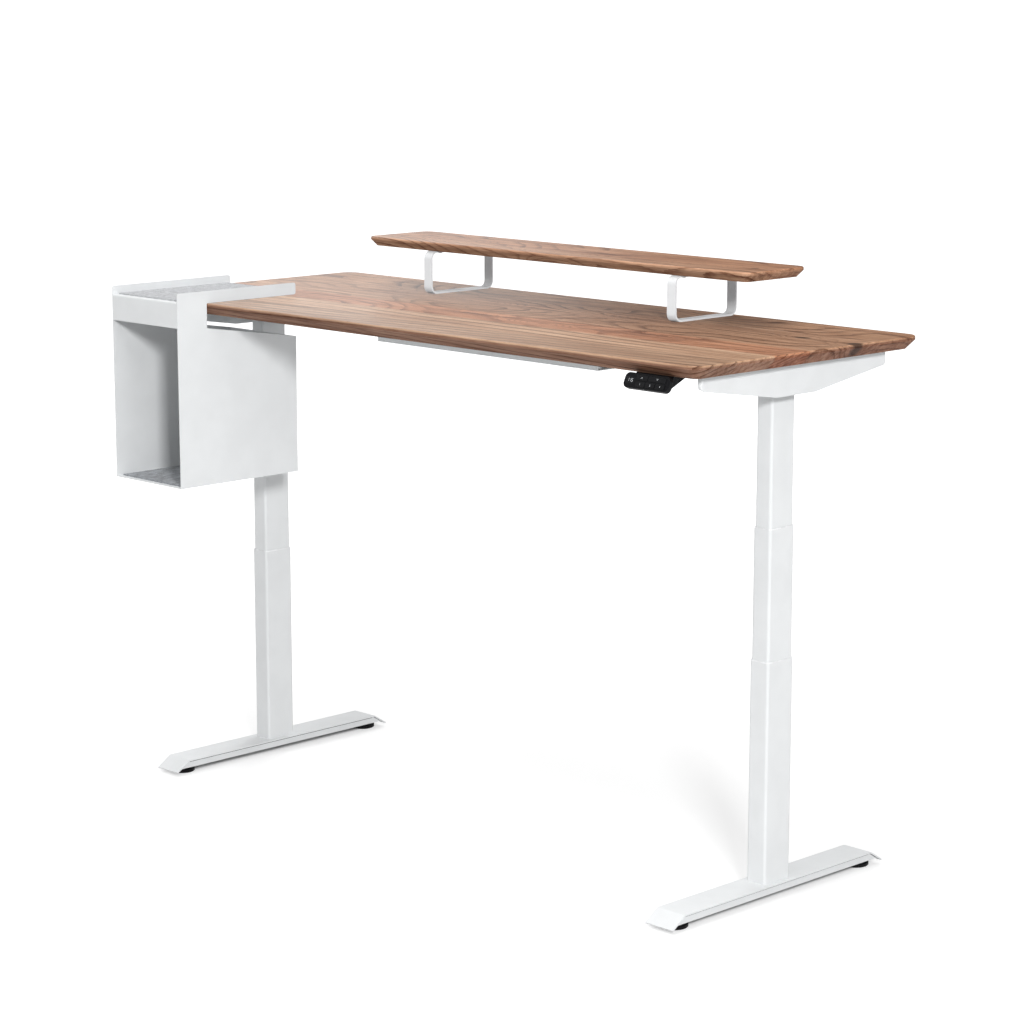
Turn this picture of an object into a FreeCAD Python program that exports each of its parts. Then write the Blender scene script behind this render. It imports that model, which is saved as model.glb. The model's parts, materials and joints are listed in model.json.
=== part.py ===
import FreeCAD, Part
import math
import os
from FreeCAD import Vector

# Height-adjustable desk, drawn at the working height of a standing person.
# Millimetres, Z up, X along the length, the user stands on the -Y side.
# Everything is drawn with Y = 0 on the line of the two columns. save() then moves
# it back by COLUMN_Y, so that the origin is the middle of the footprint.

# Desk top board
DESK_LENGTH = 1800.0
DESK_DEPTH = 700.0
DESK_THICKNESS = 28.0
DESK_TOP = 1155.0
DESK_CORNER = 36.0
DESK_BAND = 8.0
DESK_BEVEL = 20.0
EDGE_ROUND = 3.0

# Monitor shelf
SHELF_LENGTH = 1200.0
SHELF_DEPTH = 200.0
SHELF_THICKNESS = 22.0
SHELF_CORNER = 26.0
SHELF_BAND = 7.0
SHELF_BEVEL = 15.0
SHELF_FROM_BACK = 10.0
LEG_HEIGHT = 100.0
LEG_SPACING = 770.0
LEG_WIDTH = 25.0
LEG_SHEET = 4.0
LEG_BEND = 18.0
LEG_SCREW_INSET = 40.0

# Feet
FOOT_SHORT_OF_TOP = 27.0
FOOT_SLOPE_LENGTH = 37.5
FOOT_WIDTH = 75.0
FOOT_TOP = 33.5
FOOT_TIP = 9.6
FOOT_SHEET = 3.0
FOOT_WALL_INSET = 5.0
FOOT_WALL_BOTTOM = 14.0
FOOT_END_GAP = 1.5

# Levelling glides
GLIDE_FROM_TIP = 46.0
GLIDE_DIAMETER = 58.0
GLIDE_NECK = 22.0
GLIDE_PAD = 7.0
GLIDE_HEIGHT = 10.0
GLIDE_EDGE = 1.5
STUD_DIAMETER = 8.0
STUD_TOP_GAP = 2.0
NUT_FLATS = 13.0
NUT_HEIGHT = 8.0

# Columns: three tubes that telescope, the widest at the bottom
COLUMN_FROM_END = 98.0
COLUMN_DEPTH = 80.0
COLUMN_WIDTH = 50.0
COLUMN_CORNER = 6.0
TUBE_WALL = 1.6
STAGE_STEP = 2.0
OUTER_TOP = 508.0
MIDDLE_SHOWN = 278.0
MIDDLE_LENGTH = 468.0
INNER_LENGTH = 470.0
CAP_HEIGHT = 3.0
SLIDE_GAP = 0.3
THREAD_GAP = 0.08

# Screw drive inside each column
BASE_PLATE = 8.0
NUT_PLATE = 10.0
PLATE_CORNER = 7.0
LOWER_SCREW = 14.0
LOWER_SCREW_BORE = 10.4
LOWER_SCREW_LENGTH = 350.0
UPPER_SCREW = 20.0
UPPER_SCREW_BORE = 15.0
UPPER_SCREW_LENGTH = 350.0
SHAFT_FLATS = 8.0
SHAFT_LENGTH = 480.0
SHAFT_SEAT = 12.0
SCREW_FLANGE = 26.0
SCREW_FLANGE_HEIGHT = 5.0

# Side brackets under the top
BRACKET_FROM_EDGE = 62.0
BRACKET_OUTSIDE = 53.0
BRACKET_INSIDE = 45.0
BRACKET_SHEET = 2.5
BRACKET_MID_DEPTH = 66.0
BRACKET_END_DEPTH = 31.0
BRACKET_MID_FLAT = 120.0
BRACKET_CORNER = 12.0
BRACKET_RETURN = 9.0
BRACKET_BEND = 5.0
BRACKET_SWEEP = 30.0
TAB_REACH = 130.0
TAB_DEPTH = 40.0

# Drive heads
GEAR_HEIGHT = 49.5
GEAR_WIDTH = 70.0
GEAR_DEPTH = 84.0
GEAR_CORNER = 9.0
GEAR_PLUG = 12.0
EAR_REACH = 75.0
EAR_THICKNESS = 6.0
EAR_BOLT_X = 25.0
EAR_BOLT_Y = 62.0
MOTOR_DIAMETER = 44.0
MOTOR_LENGTH = 125.0
MOTOR_CHAMFER = 3.0
MOTOR_FLANGE = 48.0
MOTOR_FLANGE_LENGTH = 5.0
MOTOR_BOSS = 18.0
MOTOR_BOSS_LENGTH = 6.0
MOTOR_BELOW = 25.5
MOTOR_WINDOW = 64.0

# Crossbeams
BEAM_DEPTH = 25.0
BEAM_HEIGHT = 36.0
BEAM_WALL = 1.5
BEAM_SPACING = 160.0
BEAM_BELOW_TOP = 2.0
BEAM_END_PLATE = 3.0
BEAM_END_WIDTH = 64.0
BEAM_BOLT_SPACING = 46.0

# Cable tray
TRAY_LENGTH = 700.0
TRAY_DEPTH = 100.0
TRAY_DROP = 63.0
TRAY_SHEET = 1.5
TRAY_FLANGE = 15.0
TRAY_BEND = 2.5
TRAY_SLOTS = 7
TRAY_SLOT_LENGTH = 60.0
TRAY_SLOT_WIDTH = 14.0
TRAY_SLOT_ROW = 20.0
TRAY_SCREW_END = 30.0

# Control box
BOX_LENGTH = 220.0
BOX_DEPTH = 90.0
BOX_HEIGHT = 34.0
BOX_CORNER = 8.0
BOX_ROUND = 4.0
BOX_BEHIND = 150.0
BOX_EAR = 14.0
BOX_EAR_THICKNESS = 3.0
BOX_EAR_INSET = 4.0
BOX_SCREW_SPACING = 60.0
SOCKET_WIDTH = 13.0
SOCKET_HEIGHT = 11.0
SOCKET_DEPTH = 12.0
SOCKET_COUNT = 3
SOCKET_PITCH = 21.0
INLET_WIDTH = 22.0
INLET_HEIGHT = 16.0
INLET_FROM_MIDDLE = 55.0

# Hand keypad
KEYPAD_LENGTH = 118.0
KEYPAD_HEIGHT = 32.0
KEYPAD_THICKNESS = 12.0
KEYPAD_CORNER = 11.0
KEYPAD_ROUND = 1.5
KEYPAD_FROM_END = 126.0
KEYPAD_AHEAD = 7.0
KEYPAD_DROP = 12.5
KEYPAD_TILT = 25.0
KEYPAD_MOUNT_LENGTH = 100.0
KEYPAD_MOUNT_REACH = 36.0
KEYPAD_MOUNT_FACE = 23.0
KEYPAD_LIP = 3.0
KEYPAD_SCREW_SPACING = 76.0
KEY_HEIGHT = 11.0
KEY_ROW = 13.5
KEY_PROUD = 0.9
KEY_POCKET = 4.0
KEY_TRAVEL_ROOM = 1.2
KEY_GAP = 0.3
KEY_CORNER = 2.5
KEY_ROUND = 0.5
KEY_SPACE = 2.5
DOWN_KEY = 46.0
UP_KEY = 30.0
SMALL_KEY = 23.5
SCREEN_WIDTH = 22.0
SCREEN_HEIGHT = 13.0
SCREEN_DEPTH = 1.5
SCREEN_CORNER = 2.0
FACE_MARGIN = 5.0
KEYS_FROM_END = 9.0

# Pannier that hooks over the front edge
PANNIER_WIDTH = 244.0
PANNIER_FROM_END = 60.0
PANNIER_OVERHANG = 86.0
PANNIER_DEPTH = 349.0
PANNIER_DROP = 420.0
PANNIER_SHEET = 2.0
ARM_HEIGHT = 28.0
ARM_CORNER = 6.0
ARM_GAP = 0.3
HOOK_GAP = 1.5
SLOT_FRONT_DROP = 57.0
SLOT_BACK_DROP = 98.0
SLOT_CORNER = 3.0
FLOOR_LIFT = 6.5
FLOOR_BEND = 4.0
FLOOR_BACK_GAP = 6.0
APRON_DROP = 51.0
FELT_THICKNESS = 3.0
FELT_MARGIN = 3.0
FELT_FRONT_GAP = 10.0
FELT_CORNER = 6.0

# Fasteners
BOLT_DIAMETER = 6.0
BOLT_HEAD = 10.0
BOLT_HEAD_HEIGHT = 4.0
BOLT_KEY = 5.0
BOLT_KEY_DEPTH = 2.5
BOLT_HOLE_GAP = 0.2
SCREW_DIAMETER = 4.0
SCREW_HEAD = 9.0
SCREW_HEAD_HEIGHT = 2.4
SCREW_HEAD_ROUND = 1.4
SCREW_CROSS = 4.6
SCREW_CROSS_BLADE = 1.0
SCREW_CROSS_DEPTH = 1.2
SCREW_HEAD_GAP = 0.5
SCREW_BITE = 15.0
FOOT_BOLT_X = 13.0
FOOT_BOLT_Y = 28.0
BRACKET_SCREW_END = 32.0
BRACKET_SCREW_PITCH = 95.0
BRACKET_SCREW_X = 22.0

# How far a cutting tool runs past the face it cuts
PAST = 1.0

# Places that follow from the sizes above
COLUMN_X = DESK_LENGTH / 2 - COLUMN_FROM_END
COLUMN_Y = PANNIER_OVERHANG / 2
UNDERSIDE = DESK_TOP - DESK_THICKNESS
FRONT_EDGE = -DESK_DEPTH / 2
FOOT_LENGTH = DESK_DEPTH - FOOT_SHORT_OF_TOP
FOOT_FLAT = FOOT_LENGTH - 2 * FOOT_SLOPE_LENGTH
FOOT_UNDER = FOOT_TOP - FOOT_SHEET
GLIDE_SPACING = FOOT_LENGTH - 2 * GLIDE_FROM_TIP
MIDDLE_TOP = OUTER_TOP + MIDDLE_SHOWN
MIDDLE_BOTTOM = MIDDLE_TOP - MIDDLE_LENGTH
BRACKET_LENGTH = DESK_DEPTH - 2 * BRACKET_FROM_EDGE
PLATE_UNDER = UNDERSIDE - BRACKET_SHEET
GEAR_BOTTOM = PLATE_UNDER - GEAR_HEIGHT
INNER_BOTTOM = GEAR_BOTTOM - INNER_LENGTH
FLANGE_X = COLUMN_X + BRACKET_OUTSIDE
TAB_X = COLUMN_X - BRACKET_INSIDE
PANNIER_LEFT = -DESK_LENGTH / 2 + PANNIER_FROM_END
PANNIER_RIGHT = PANNIER_LEFT + PANNIER_WIDTH
PANNIER_FRONT = FRONT_EDGE - PANNIER_OVERHANG
PANNIER_BACK = PANNIER_FRONT + PANNIER_DEPTH
PANNIER_BOTTOM = DESK_TOP - PANNIER_DROP
SLOT_FRONT = FRONT_EDGE - HOOK_GAP
SHELF_Y = DESK_DEPTH / 2 - SHELF_FROM_BACK - SHELF_DEPTH / 2
SHELF_UNDER = DESK_TOP + LEG_HEIGHT
KEYPAD_X = DESK_LENGTH / 2 - KEYPAD_FROM_END
KEYPAD_Y = FRONT_EDGE - KEYPAD_AHEAD
KEYPAD_Z = UNDERSIDE - KEYPAD_DROP
TILT_SIN = math.sin(math.radians(KEYPAD_TILT))
TILT_COS = math.cos(math.radians(KEYPAD_TILT))
UP = Vector(0, 0, 1)
SIDES = (("left", -1), ("right", 1))


def save(name, *solids):
    """Write one node, moved from the column line to the middle of the footprint."""
    shape = solids[0] if len(solids) == 1 else Part.makeCompound(list(solids))
    shape = shape.copy()
    shape.translate(Vector(0, COLUMN_Y, 0))
    if not shape.isValid():
        raise ValueError(name + " is not a valid solid")
    shape.exportStep("parts/" + name + ".step")


def box(x0, x1, y0, y1, z0, z1):
    low_x, high_x = sorted((x0, x1))
    return Part.makeBox(high_x - low_x, y1 - y0, z1 - z0, Vector(low_x, y0, z0))


def cylinder(diameter, base, direction, length):
    return Part.makeCylinder(diameter / 2, length, base, direction)


def outline(corners, place):
    """Closed wire through corners (u, v, radius), each corner rounded by its radius."""
    starts, middles, ends = [], [], []
    for i, (u, v, radius) in enumerate(corners):
        here = Vector(u, v, 0)
        before = Vector(*corners[i - 1][:2], 0)
        after = Vector(*corners[(i + 1) % len(corners)][:2], 0)
        back = (before - here).normalize()
        ahead = (after - here).normalize()
        half_turn = back.getAngle(ahead) / 2
        reach = radius / math.tan(half_turn)
        inward = (back + ahead).normalize() if radius else Vector(0, 0, 0)
        starts.append(here + back * reach)
        ends.append(here + ahead * reach)
        middles.append(here + inward * (radius / math.sin(half_turn) - radius))
    edges = []
    for i, (u, v, radius) in enumerate(corners):
        if radius:
            edges.append(Part.Arc(place(starts[i]), place(middles[i]), place(ends[i])).toShape())
        following = starts[(i + 1) % len(corners)]
        if ends[i].distanceToPoint(following) > 1e-6:
            edges.append(Part.LineSegment(place(ends[i]), place(following)).toShape())
    return Part.Wire(edges)


def rectangle(width, depth, radius, x=0.0, y=0.0, z=0.0):
    """Horizontal rounded rectangle about (x, y)."""
    half_x, half_y = width / 2, depth / 2
    corners = [(-half_x, -half_y, radius), (half_x, -half_y, radius),
               (half_x, half_y, radius), (-half_x, half_y, radius)]
    return outline(corners, lambda p: Vector(x + p.x, y + p.y, z))


def block(width, depth, radius, x, y, z0, z1):
    """Upright prism on a rounded rectangle."""
    return Part.Face(rectangle(width, depth, radius, x, y, z0)).extrude(Vector(0, 0, z1 - z0))


def along_x(corners, x0, x1):
    """Prism whose outline lies in Y and Z, from x0 to x1."""
    low, high = sorted((x0, x1))
    wire = outline(corners, lambda p: Vector(low, p.x, p.y))
    return Part.Face(wire).extrude(Vector(high - low, 0, 0))


def upright(corners, side, z0, z1):
    """Upright prism whose outline lies in X and Y, on the left (-1) or right (1) of the desk."""
    wire = outline(corners, lambda p: Vector(side * p.x, p.y, z0))
    return Part.Face(wire).extrude(Vector(0, 0, z1 - z0))


def bevelled_board(length, depth, thickness, corner, band, bevel, y, top):
    """Board with rounded corners, a softened top edge and a chamfer drawn in below."""
    upper = block(length, depth, corner, 0, y, top - band, top)
    rim = [e for e in upper.Edges if abs(e.BoundBox.ZMin - top) < 1e-6]
    upper = upper.makeFillet(EDGE_ROUND, rim)
    wide = rectangle(length, depth, corner, 0, y, top - band)
    narrow = rectangle(length - 2 * bevel, depth - 2 * bevel, corner - bevel, 0, y, top - thickness)
    lower = Part.makeLoft([wide, narrow], True, True)
    return upper.fuse(lower).removeSplitter()


def bolt(seat, direction, length):
    """Socket-head bolt: its head sits before the seat, its shank runs on from it."""
    end = seat - direction * BOLT_HEAD_HEIGHT
    head = cylinder(BOLT_HEAD, end, direction, BOLT_HEAD_HEIGHT)
    head = head.cut(hexagon(BOLT_KEY, end, direction, BOLT_KEY_DEPTH))
    return head.fuse(cylinder(BOLT_DIAMETER, seat, direction, length)).removeSplitter()


def bolt_hole(start, direction, length):
    """Hole for a bolt, past both ends of the length."""
    return cylinder(BOLT_DIAMETER + 2 * BOLT_HOLE_GAP, start - direction * PAST, direction, length + 2 * PAST)


def wood_screw(x, y, seat):
    """Pan-head screw with a cross recess, driven upwards, its head under the seat."""
    low = seat - SCREW_HEAD_HEIGHT
    head = cylinder(SCREW_HEAD, Vector(x, y, low), UP, SCREW_HEAD_HEIGHT)
    rim = [e for e in head.Edges if abs(e.BoundBox.ZMax - low) < 1e-6]
    head = head.makeFillet(SCREW_HEAD_ROUND, rim)
    half, blade = SCREW_CROSS / 2, SCREW_CROSS_BLADE / 2
    for half_x, half_y in ((half, blade), (blade, half)):
        head = head.cut(box(x - half_x, x + half_x, y - half_y, y + half_y, low, low + SCREW_CROSS_DEPTH))
    shank = cylinder(SCREW_DIAMETER, Vector(x, y, seat), UP, SCREW_BITE)
    return head.fuse(shank).removeSplitter()


def screw_hole(x, y, z, length):
    """Upright hole for a wood screw, from z and past both ends of the length."""
    return cylinder(SCREW_DIAMETER + 2 * BOLT_HOLE_GAP, Vector(x, y, z - PAST), UP, length + 2 * PAST)


def hexagon(flats, base, direction, length):
    """Hexagonal prism along a direction, given across its flats."""
    radius = flats / math.sqrt(3)
    turned = FreeCAD.Rotation(UP, direction)
    turns = [i * math.pi / 3 for i in range(7)]
    corners = [Vector(radius * math.cos(turn), radius * math.sin(turn), 0) for turn in turns]
    points = [base + turned.multVec(corner) for corner in corners]
    return Part.Face(Part.makePolygon(points)).extrude(direction * length)


def tube(width, depth, corner, x, z0, z1):
    """Upright rectangular tube about a column's middle."""
    outer = block(width, depth, corner, x, 0, z0, z1)
    bore = block(width - 2 * TUBE_WALL, depth - 2 * TUBE_WALL, corner - TUBE_WALL, x, 0, z0, z1)
    return outer.cut(bore)


def stage(number):
    """Outside width, depth and corner of column tube 0 (bottom), 1 or 2 (top)."""
    return COLUMN_WIDTH - 2 * STAGE_STEP * number, COLUMN_DEPTH - 2 * STAGE_STEP * number, COLUMN_CORNER


def plug(number, x, z0, z1):
    """Plate that fills a column tube: its flats touch the walls and its corners stay clear."""
    width, depth, corner = stage(number)
    return block(width - 2 * TUBE_WALL, depth - 2 * TUBE_WALL, PLATE_CORNER, x, 0, z0, z1)


def rim_cap(number, x, top):
    """Plastic rim on a tube's top edge, round the next tube."""
    width, depth, corner = stage(number)
    inner_width, inner_depth, inner_corner = stage(number + 1)
    ring = block(width, depth, corner, x, 0, top - CAP_HEIGHT, top)
    hole = block(inner_width + 2 * SLIDE_GAP, inner_depth + 2 * SLIDE_GAP, inner_corner,
                 x, 0, top - CAP_HEIGHT, top)
    return ring.cut(hole)


def foot_bolt_places(x):
    return [(x + dx, dy) for dx in (-FOOT_BOLT_X, FOOT_BOLT_X) for dy in (-FOOT_BOLT_Y, FOOT_BOLT_Y)]


def foot(x):
    """Folded foot: a bent top strip over two side walls that stand slightly in from its edges."""
    tip, flat = FOOT_LENGTH / 2, FOOT_FLAT / 2
    slope = math.atan2(FOOT_TOP - FOOT_TIP, tip - flat)
    inner_flat = flat - FOOT_SHEET * math.tan(slope / 2)
    inner_tip = tip - FOOT_SHEET * math.sin(slope)
    inner_low = FOOT_TIP - FOOT_SHEET * math.cos(slope)
    bend = 2 * FOOT_SHEET
    strip = along_x([(-tip, FOOT_TIP, 0), (-flat, FOOT_TOP, bend), (flat, FOOT_TOP, bend), (tip, FOOT_TIP, 0),
                     (inner_tip, inner_low, 0), (inner_flat, FOOT_UNDER, bend - FOOT_SHEET),
                     (-inner_flat, FOOT_UNDER, bend - FOOT_SHEET), (-inner_tip, inner_low, 0)],
                    x - FOOT_WIDTH / 2, x + FOOT_WIDTH / 2)
    gap = FOOT_END_GAP / math.sin(slope)
    top_reach = inner_flat - gap
    low_reach = top_reach + (FOOT_UNDER - FOOT_WALL_BOTTOM) / math.tan(slope)
    wall = [(-low_reach, FOOT_WALL_BOTTOM, 0), (low_reach, FOOT_WALL_BOTTOM, 0),
            (top_reach, FOOT_UNDER, 0), (-top_reach, FOOT_UNDER, 0)]
    shape = strip
    for side in (-1, 1):
        outside = x + side * (FOOT_WIDTH / 2 - FOOT_WALL_INSET)
        shape = shape.fuse(along_x(wall, outside, outside - side * FOOT_SHEET))
    for bolt_x, bolt_y in foot_bolt_places(x):
        shape = shape.cut(bolt_hole(Vector(bolt_x, bolt_y, FOOT_UNDER), UP, FOOT_SHEET))
    return shape.removeSplitter()


def glide(x, y):
    """Levelling glide: a round pad with a coned neck and a threaded stud."""
    stud_top = FOOT_UNDER - STUD_TOP_GAP
    pad, neck, stud = GLIDE_DIAMETER / 2, GLIDE_NECK / 2, STUD_DIAMETER / 2
    profile = [(0, 0), (pad - GLIDE_EDGE, 0), (pad, GLIDE_EDGE), (pad, GLIDE_PAD), (neck, GLIDE_HEIGHT),
               (stud, GLIDE_HEIGHT), (stud, stud_top), (0, stud_top)]
    points = [Vector(x + r, y, z) for r, z in profile]
    face = Part.Face(Part.makePolygon(points + points[:1]))
    return face.revolve(Vector(x, y, 0), UP, 360)


def glide_nut(x, y):
    nut = hexagon(NUT_FLATS, Vector(x, y, FOOT_UNDER - NUT_HEIGHT), UP, NUT_HEIGHT)
    bore = STUD_DIAMETER + 2 * THREAD_GAP
    return nut.cut(cylinder(bore, Vector(x, y, FOOT_UNDER - NUT_HEIGHT), UP, NUT_HEIGHT))


def flanged_screw(diameter, bore, length, x, z):
    """Hollow lead screw standing on its bearing flange."""
    foot_point = Vector(x, 0, z)
    flange = cylinder(SCREW_FLANGE, foot_point, UP, SCREW_FLANGE_HEIGHT)
    screw = flange.fuse(cylinder(diameter, foot_point, UP, length))
    return screw.cut(cylinder(bore, foot_point, UP, length)).removeSplitter()


def nut_plate(number, x, z, screw_diameter):
    """Nut plate in the lower end of a column tube."""
    hole = cylinder(screw_diameter + 2 * THREAD_GAP, Vector(x, 0, z), UP, NUT_PLATE)
    return plug(number, x, z, z + NUT_PLATE).cut(hole)


def base_and_columns():
    """Feet, glides, the three tubes of each column and the screw drive inside them."""
    caps, plates, bolts, nuts = [], [], [], []
    base_top = FOOT_TOP + BASE_PLATE
    for name, side in SIDES:
        x = side * COLUMN_X
        save("foot_" + name, foot(x))
        for end, y in (("front", -GLIDE_SPACING / 2), ("back", GLIDE_SPACING / 2)):
            save("glide_" + name + "_" + end, glide(x, y))
            nuts.append(glide_nut(x, y))
        save("column_outer_" + name, tube(*stage(0), x, FOOT_TOP, OUTER_TOP - CAP_HEIGHT))
        save("column_middle_" + name, tube(*stage(1), x, MIDDLE_BOTTOM, MIDDLE_TOP - CAP_HEIGHT))
        save("column_inner_" + name, tube(*stage(2), x, INNER_BOTTOM, GEAR_BOTTOM))
        caps.append(rim_cap(0, x, OUTER_TOP))
        save("middle_cap_" + name, rim_cap(1, x, MIDDLE_TOP))
        plate = plug(0, x, FOOT_TOP, base_top)
        for bolt_x, bolt_y in foot_bolt_places(x):
            plate = plate.cut(bolt_hole(Vector(bolt_x, bolt_y, FOOT_TOP), UP, BASE_PLATE))
            bolts.append(bolt(Vector(bolt_x, bolt_y, FOOT_UNDER), UP, FOOT_SHEET + BASE_PLATE))
        plates.append(plate)
        save("middle_nut_" + name, nut_plate(1, x, MIDDLE_BOTTOM, LOWER_SCREW))
        save("inner_nut_" + name, nut_plate(2, x, INNER_BOTTOM, UPPER_SCREW))
        lower = flanged_screw(LOWER_SCREW, LOWER_SCREW_BORE, LOWER_SCREW_LENGTH, x, base_top + SLIDE_GAP)
        save("lower_screw_" + name, lower)
        upper_foot = MIDDLE_BOTTOM + NUT_PLATE + SLIDE_GAP
        upper = flanged_screw(UPPER_SCREW, UPPER_SCREW_BORE, UPPER_SCREW_LENGTH, x, upper_foot)
        save("upper_screw_" + name, upper)
        shaft_top = GEAR_BOTTOM - GEAR_PLUG + SHAFT_SEAT
        shaft_foot = Vector(x, 0, shaft_top - SHAFT_LENGTH)
        save("drive_shaft_" + name, hexagon(SHAFT_FLATS, shaft_foot, UP, SHAFT_LENGTH))
    save("outer_caps", *caps)
    save("column_base_plates", *plates)
    save("foot_bolts", *bolts)
    save("glide_nuts", *nuts)


def ear_bolt_places(x):
    return [(x + dx, dy) for dx in (-EAR_BOLT_X, EAR_BOLT_X) for dy in (-EAR_BOLT_Y, EAR_BOLT_Y)]


def beam_bolt_places():
    """Y of every crossbeam bolt, and their common height."""
    middle = UNDERSIDE - BEAM_BELOW_TOP - BEAM_HEIGHT / 2
    places = [beam + step for beam in (-BEAM_SPACING / 2, BEAM_SPACING / 2)
              for step in (-BEAM_BOLT_SPACING / 2, BEAM_BOLT_SPACING / 2)]
    return places, middle


def side_bracket(side):
    """Pressed side beam: a flat top plate, a boat-shaped outer flange and two bolting tabs inside."""
    half, sheet = BRACKET_LENGTH / 2, BRACKET_SHEET
    low_mid, low_end = UNDERSIDE - BRACKET_MID_DEPTH, UNDERSIDE - BRACKET_END_DEPTH
    lip = FLANGE_X - BRACKET_RETURN
    inner_bend = BRACKET_BEND - sheet
    plate = [(TAB_X, -half, 0), (FLANGE_X, -half, BRACKET_BEND),
             (FLANGE_X, half, BRACKET_BEND), (TAB_X, half, 0)]
    flange = [(lip, -half, 0), (FLANGE_X, -half, BRACKET_BEND),
              (FLANGE_X, half, BRACKET_BEND), (lip, half, 0),
              (lip, half - sheet, 0), (FLANGE_X - sheet, half - sheet, inner_bend),
              (FLANGE_X - sheet, -half + sheet, inner_bend), (lip, -half + sheet, 0)]
    keel = BRACKET_MID_FLAT / 2
    boat = [(-half, UNDERSIDE, 0), (-half, low_end, BRACKET_CORNER), (-keel, low_mid, BRACKET_SWEEP),
            (keel, low_mid, BRACKET_SWEEP), (half, low_end, BRACKET_CORNER), (half, UNDERSIDE, 0)]
    wall = upright(flange, side, low_mid, UNDERSIDE).common(along_x(boat, side * TAB_X, side * FLANGE_X))
    shape = upright(plate, side, PLATE_UNDER, UNDERSIDE).fuse(wall)
    for end in (-1, 1):
        near, far = sorted((end * MOTOR_WINDOW / 2, end * TAB_REACH))
        tab = box(side * TAB_X, side * (TAB_X + sheet), near, far, UNDERSIDE - TAB_DEPTH, UNDERSIDE)
        shape = shape.fuse(tab)
    shape = shape.removeSplitter()
    for x, y in ear_bolt_places(side * COLUMN_X):
        shape = shape.cut(bolt_hole(Vector(x, y, PLATE_UNDER), UP, sheet))
    for x, y in bracket_screw_places(side * COLUMN_X):
        shape = shape.cut(screw_hole(x, y, PLATE_UNDER, sheet))
    bolt_ys, bolt_z = beam_bolt_places()
    for y in bolt_ys:
        start = Vector(side * (TAB_X + sheet), y, bolt_z)
        shape = shape.cut(bolt_hole(start, Vector(-side, 0, 0), sheet))
    return shape


def bracket_screw_places(x):
    last = BRACKET_LENGTH / 2 - BRACKET_SCREW_END
    rows = (-last, BRACKET_SCREW_PITCH - last, last - BRACKET_SCREW_PITCH, last)
    return [(x + dx, y) for dx in (-BRACKET_SCREW_X, BRACKET_SCREW_X) for y in rows]


def gear_housing(side):
    """Drive head on the inner tube: a body with bolting ears and a plug down into the tube."""
    x = side * COLUMN_X
    width, depth, corner = stage(2)
    body = block(GEAR_WIDTH, GEAR_DEPTH, GEAR_CORNER, x, 0, GEAR_BOTTOM, PLATE_UNDER)
    ears = block(GEAR_WIDTH, 2 * EAR_REACH, GEAR_CORNER, x, 0, PLATE_UNDER - EAR_THICKNESS, PLATE_UNDER)
    seat = block(width - 2 * TUBE_WALL - 2 * SLIDE_GAP, depth - 2 * TUBE_WALL - 2 * SLIDE_GAP,
                 PLATE_CORNER, x, 0, GEAR_BOTTOM - GEAR_PLUG, GEAR_BOTTOM)
    shape = body.fuse([ears, seat]).removeSplitter()
    socket = SHAFT_FLATS * 2 / math.sqrt(3) + 2 * SLIDE_GAP
    shape = shape.cut(cylinder(socket, Vector(x, 0, GEAR_BOTTOM - GEAR_PLUG), UP, SHAFT_SEAT + SLIDE_GAP))
    for bolt_x, bolt_y in ear_bolt_places(x):
        start = Vector(bolt_x, bolt_y, PLATE_UNDER - EAR_THICKNESS)
        shape = shape.cut(bolt_hole(start, UP, EAR_THICKNESS))
    return shape


def motor(side):
    """Round motor on the inner face of the drive head, with a flange and a bearing boss."""
    start = side * (COLUMN_X - GEAR_WIDTH / 2)
    z = PLATE_UNDER - MOTOR_BELOW
    flange, body, boss = MOTOR_FLANGE / 2, MOTOR_DIAMETER / 2, MOTOR_BOSS / 2
    body_end = MOTOR_LENGTH - MOTOR_BOSS_LENGTH
    profile = [(0, 0), (0, flange), (MOTOR_FLANGE_LENGTH, flange), (MOTOR_FLANGE_LENGTH, body),
               (body_end - MOTOR_CHAMFER, body), (body_end, body - MOTOR_CHAMFER), (body_end, boss),
               (MOTOR_LENGTH, boss), (MOTOR_LENGTH, 0)]
    points = [Vector(start - side * step, 0, z + radius) for step, radius in profile]
    face = Part.Face(Part.makePolygon(points + points[:1]))
    return face.revolve(Vector(start, 0, z), Vector(1, 0, 0), 360)


def crossbeam(y):
    """Rectangular rail with a bolting plate welded on each end."""
    high = UNDERSIDE - BEAM_BELOW_TOP
    low = high - BEAM_HEIGHT
    half = BEAM_DEPTH / 2
    bar = box(-TAB_X, TAB_X, y - half, y + half, low, high)
    bore = box(-TAB_X, TAB_X, y - half + BEAM_WALL, y + half - BEAM_WALL, low + BEAM_WALL, high - BEAM_WALL)
    shape = bar.cut(bore)
    bolt_ys, bolt_z = beam_bolt_places()
    for side in (-1, 1):
        plate = box(side * TAB_X, side * (TAB_X - BEAM_END_PLATE),
                    y - BEAM_END_WIDTH / 2, y + BEAM_END_WIDTH / 2, low, high)
        shape = shape.fuse(plate)
        for bolt_y in bolt_ys:
            start = Vector(side * TAB_X, bolt_y, bolt_z)
            shape = shape.cut(bolt_hole(start, Vector(-side, 0, 0), BEAM_END_PLATE))
    return shape.removeSplitter()


def tray_floor():
    """Plate under the cables, with two rows of slots for cable ties."""
    low = UNDERSIDE - TRAY_DROP
    half = TRAY_DEPTH / 2
    shape = box(-TRAY_LENGTH / 2, TRAY_LENGTH / 2, -half, half, low, low + TRAY_SHEET)
    pitch = TRAY_LENGTH / TRAY_SLOTS
    for i in range(TRAY_SLOTS):
        x = (i - (TRAY_SLOTS - 1) / 2) * pitch
        for y in (-TRAY_SLOT_ROW, TRAY_SLOT_ROW):
            slot = block(TRAY_SLOT_LENGTH, TRAY_SLOT_WIDTH, TRAY_SLOT_WIDTH / 2, x, y,
                         low - PAST, low + TRAY_SHEET + PAST)
            shape = shape.cut(slot)
    return shape


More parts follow.
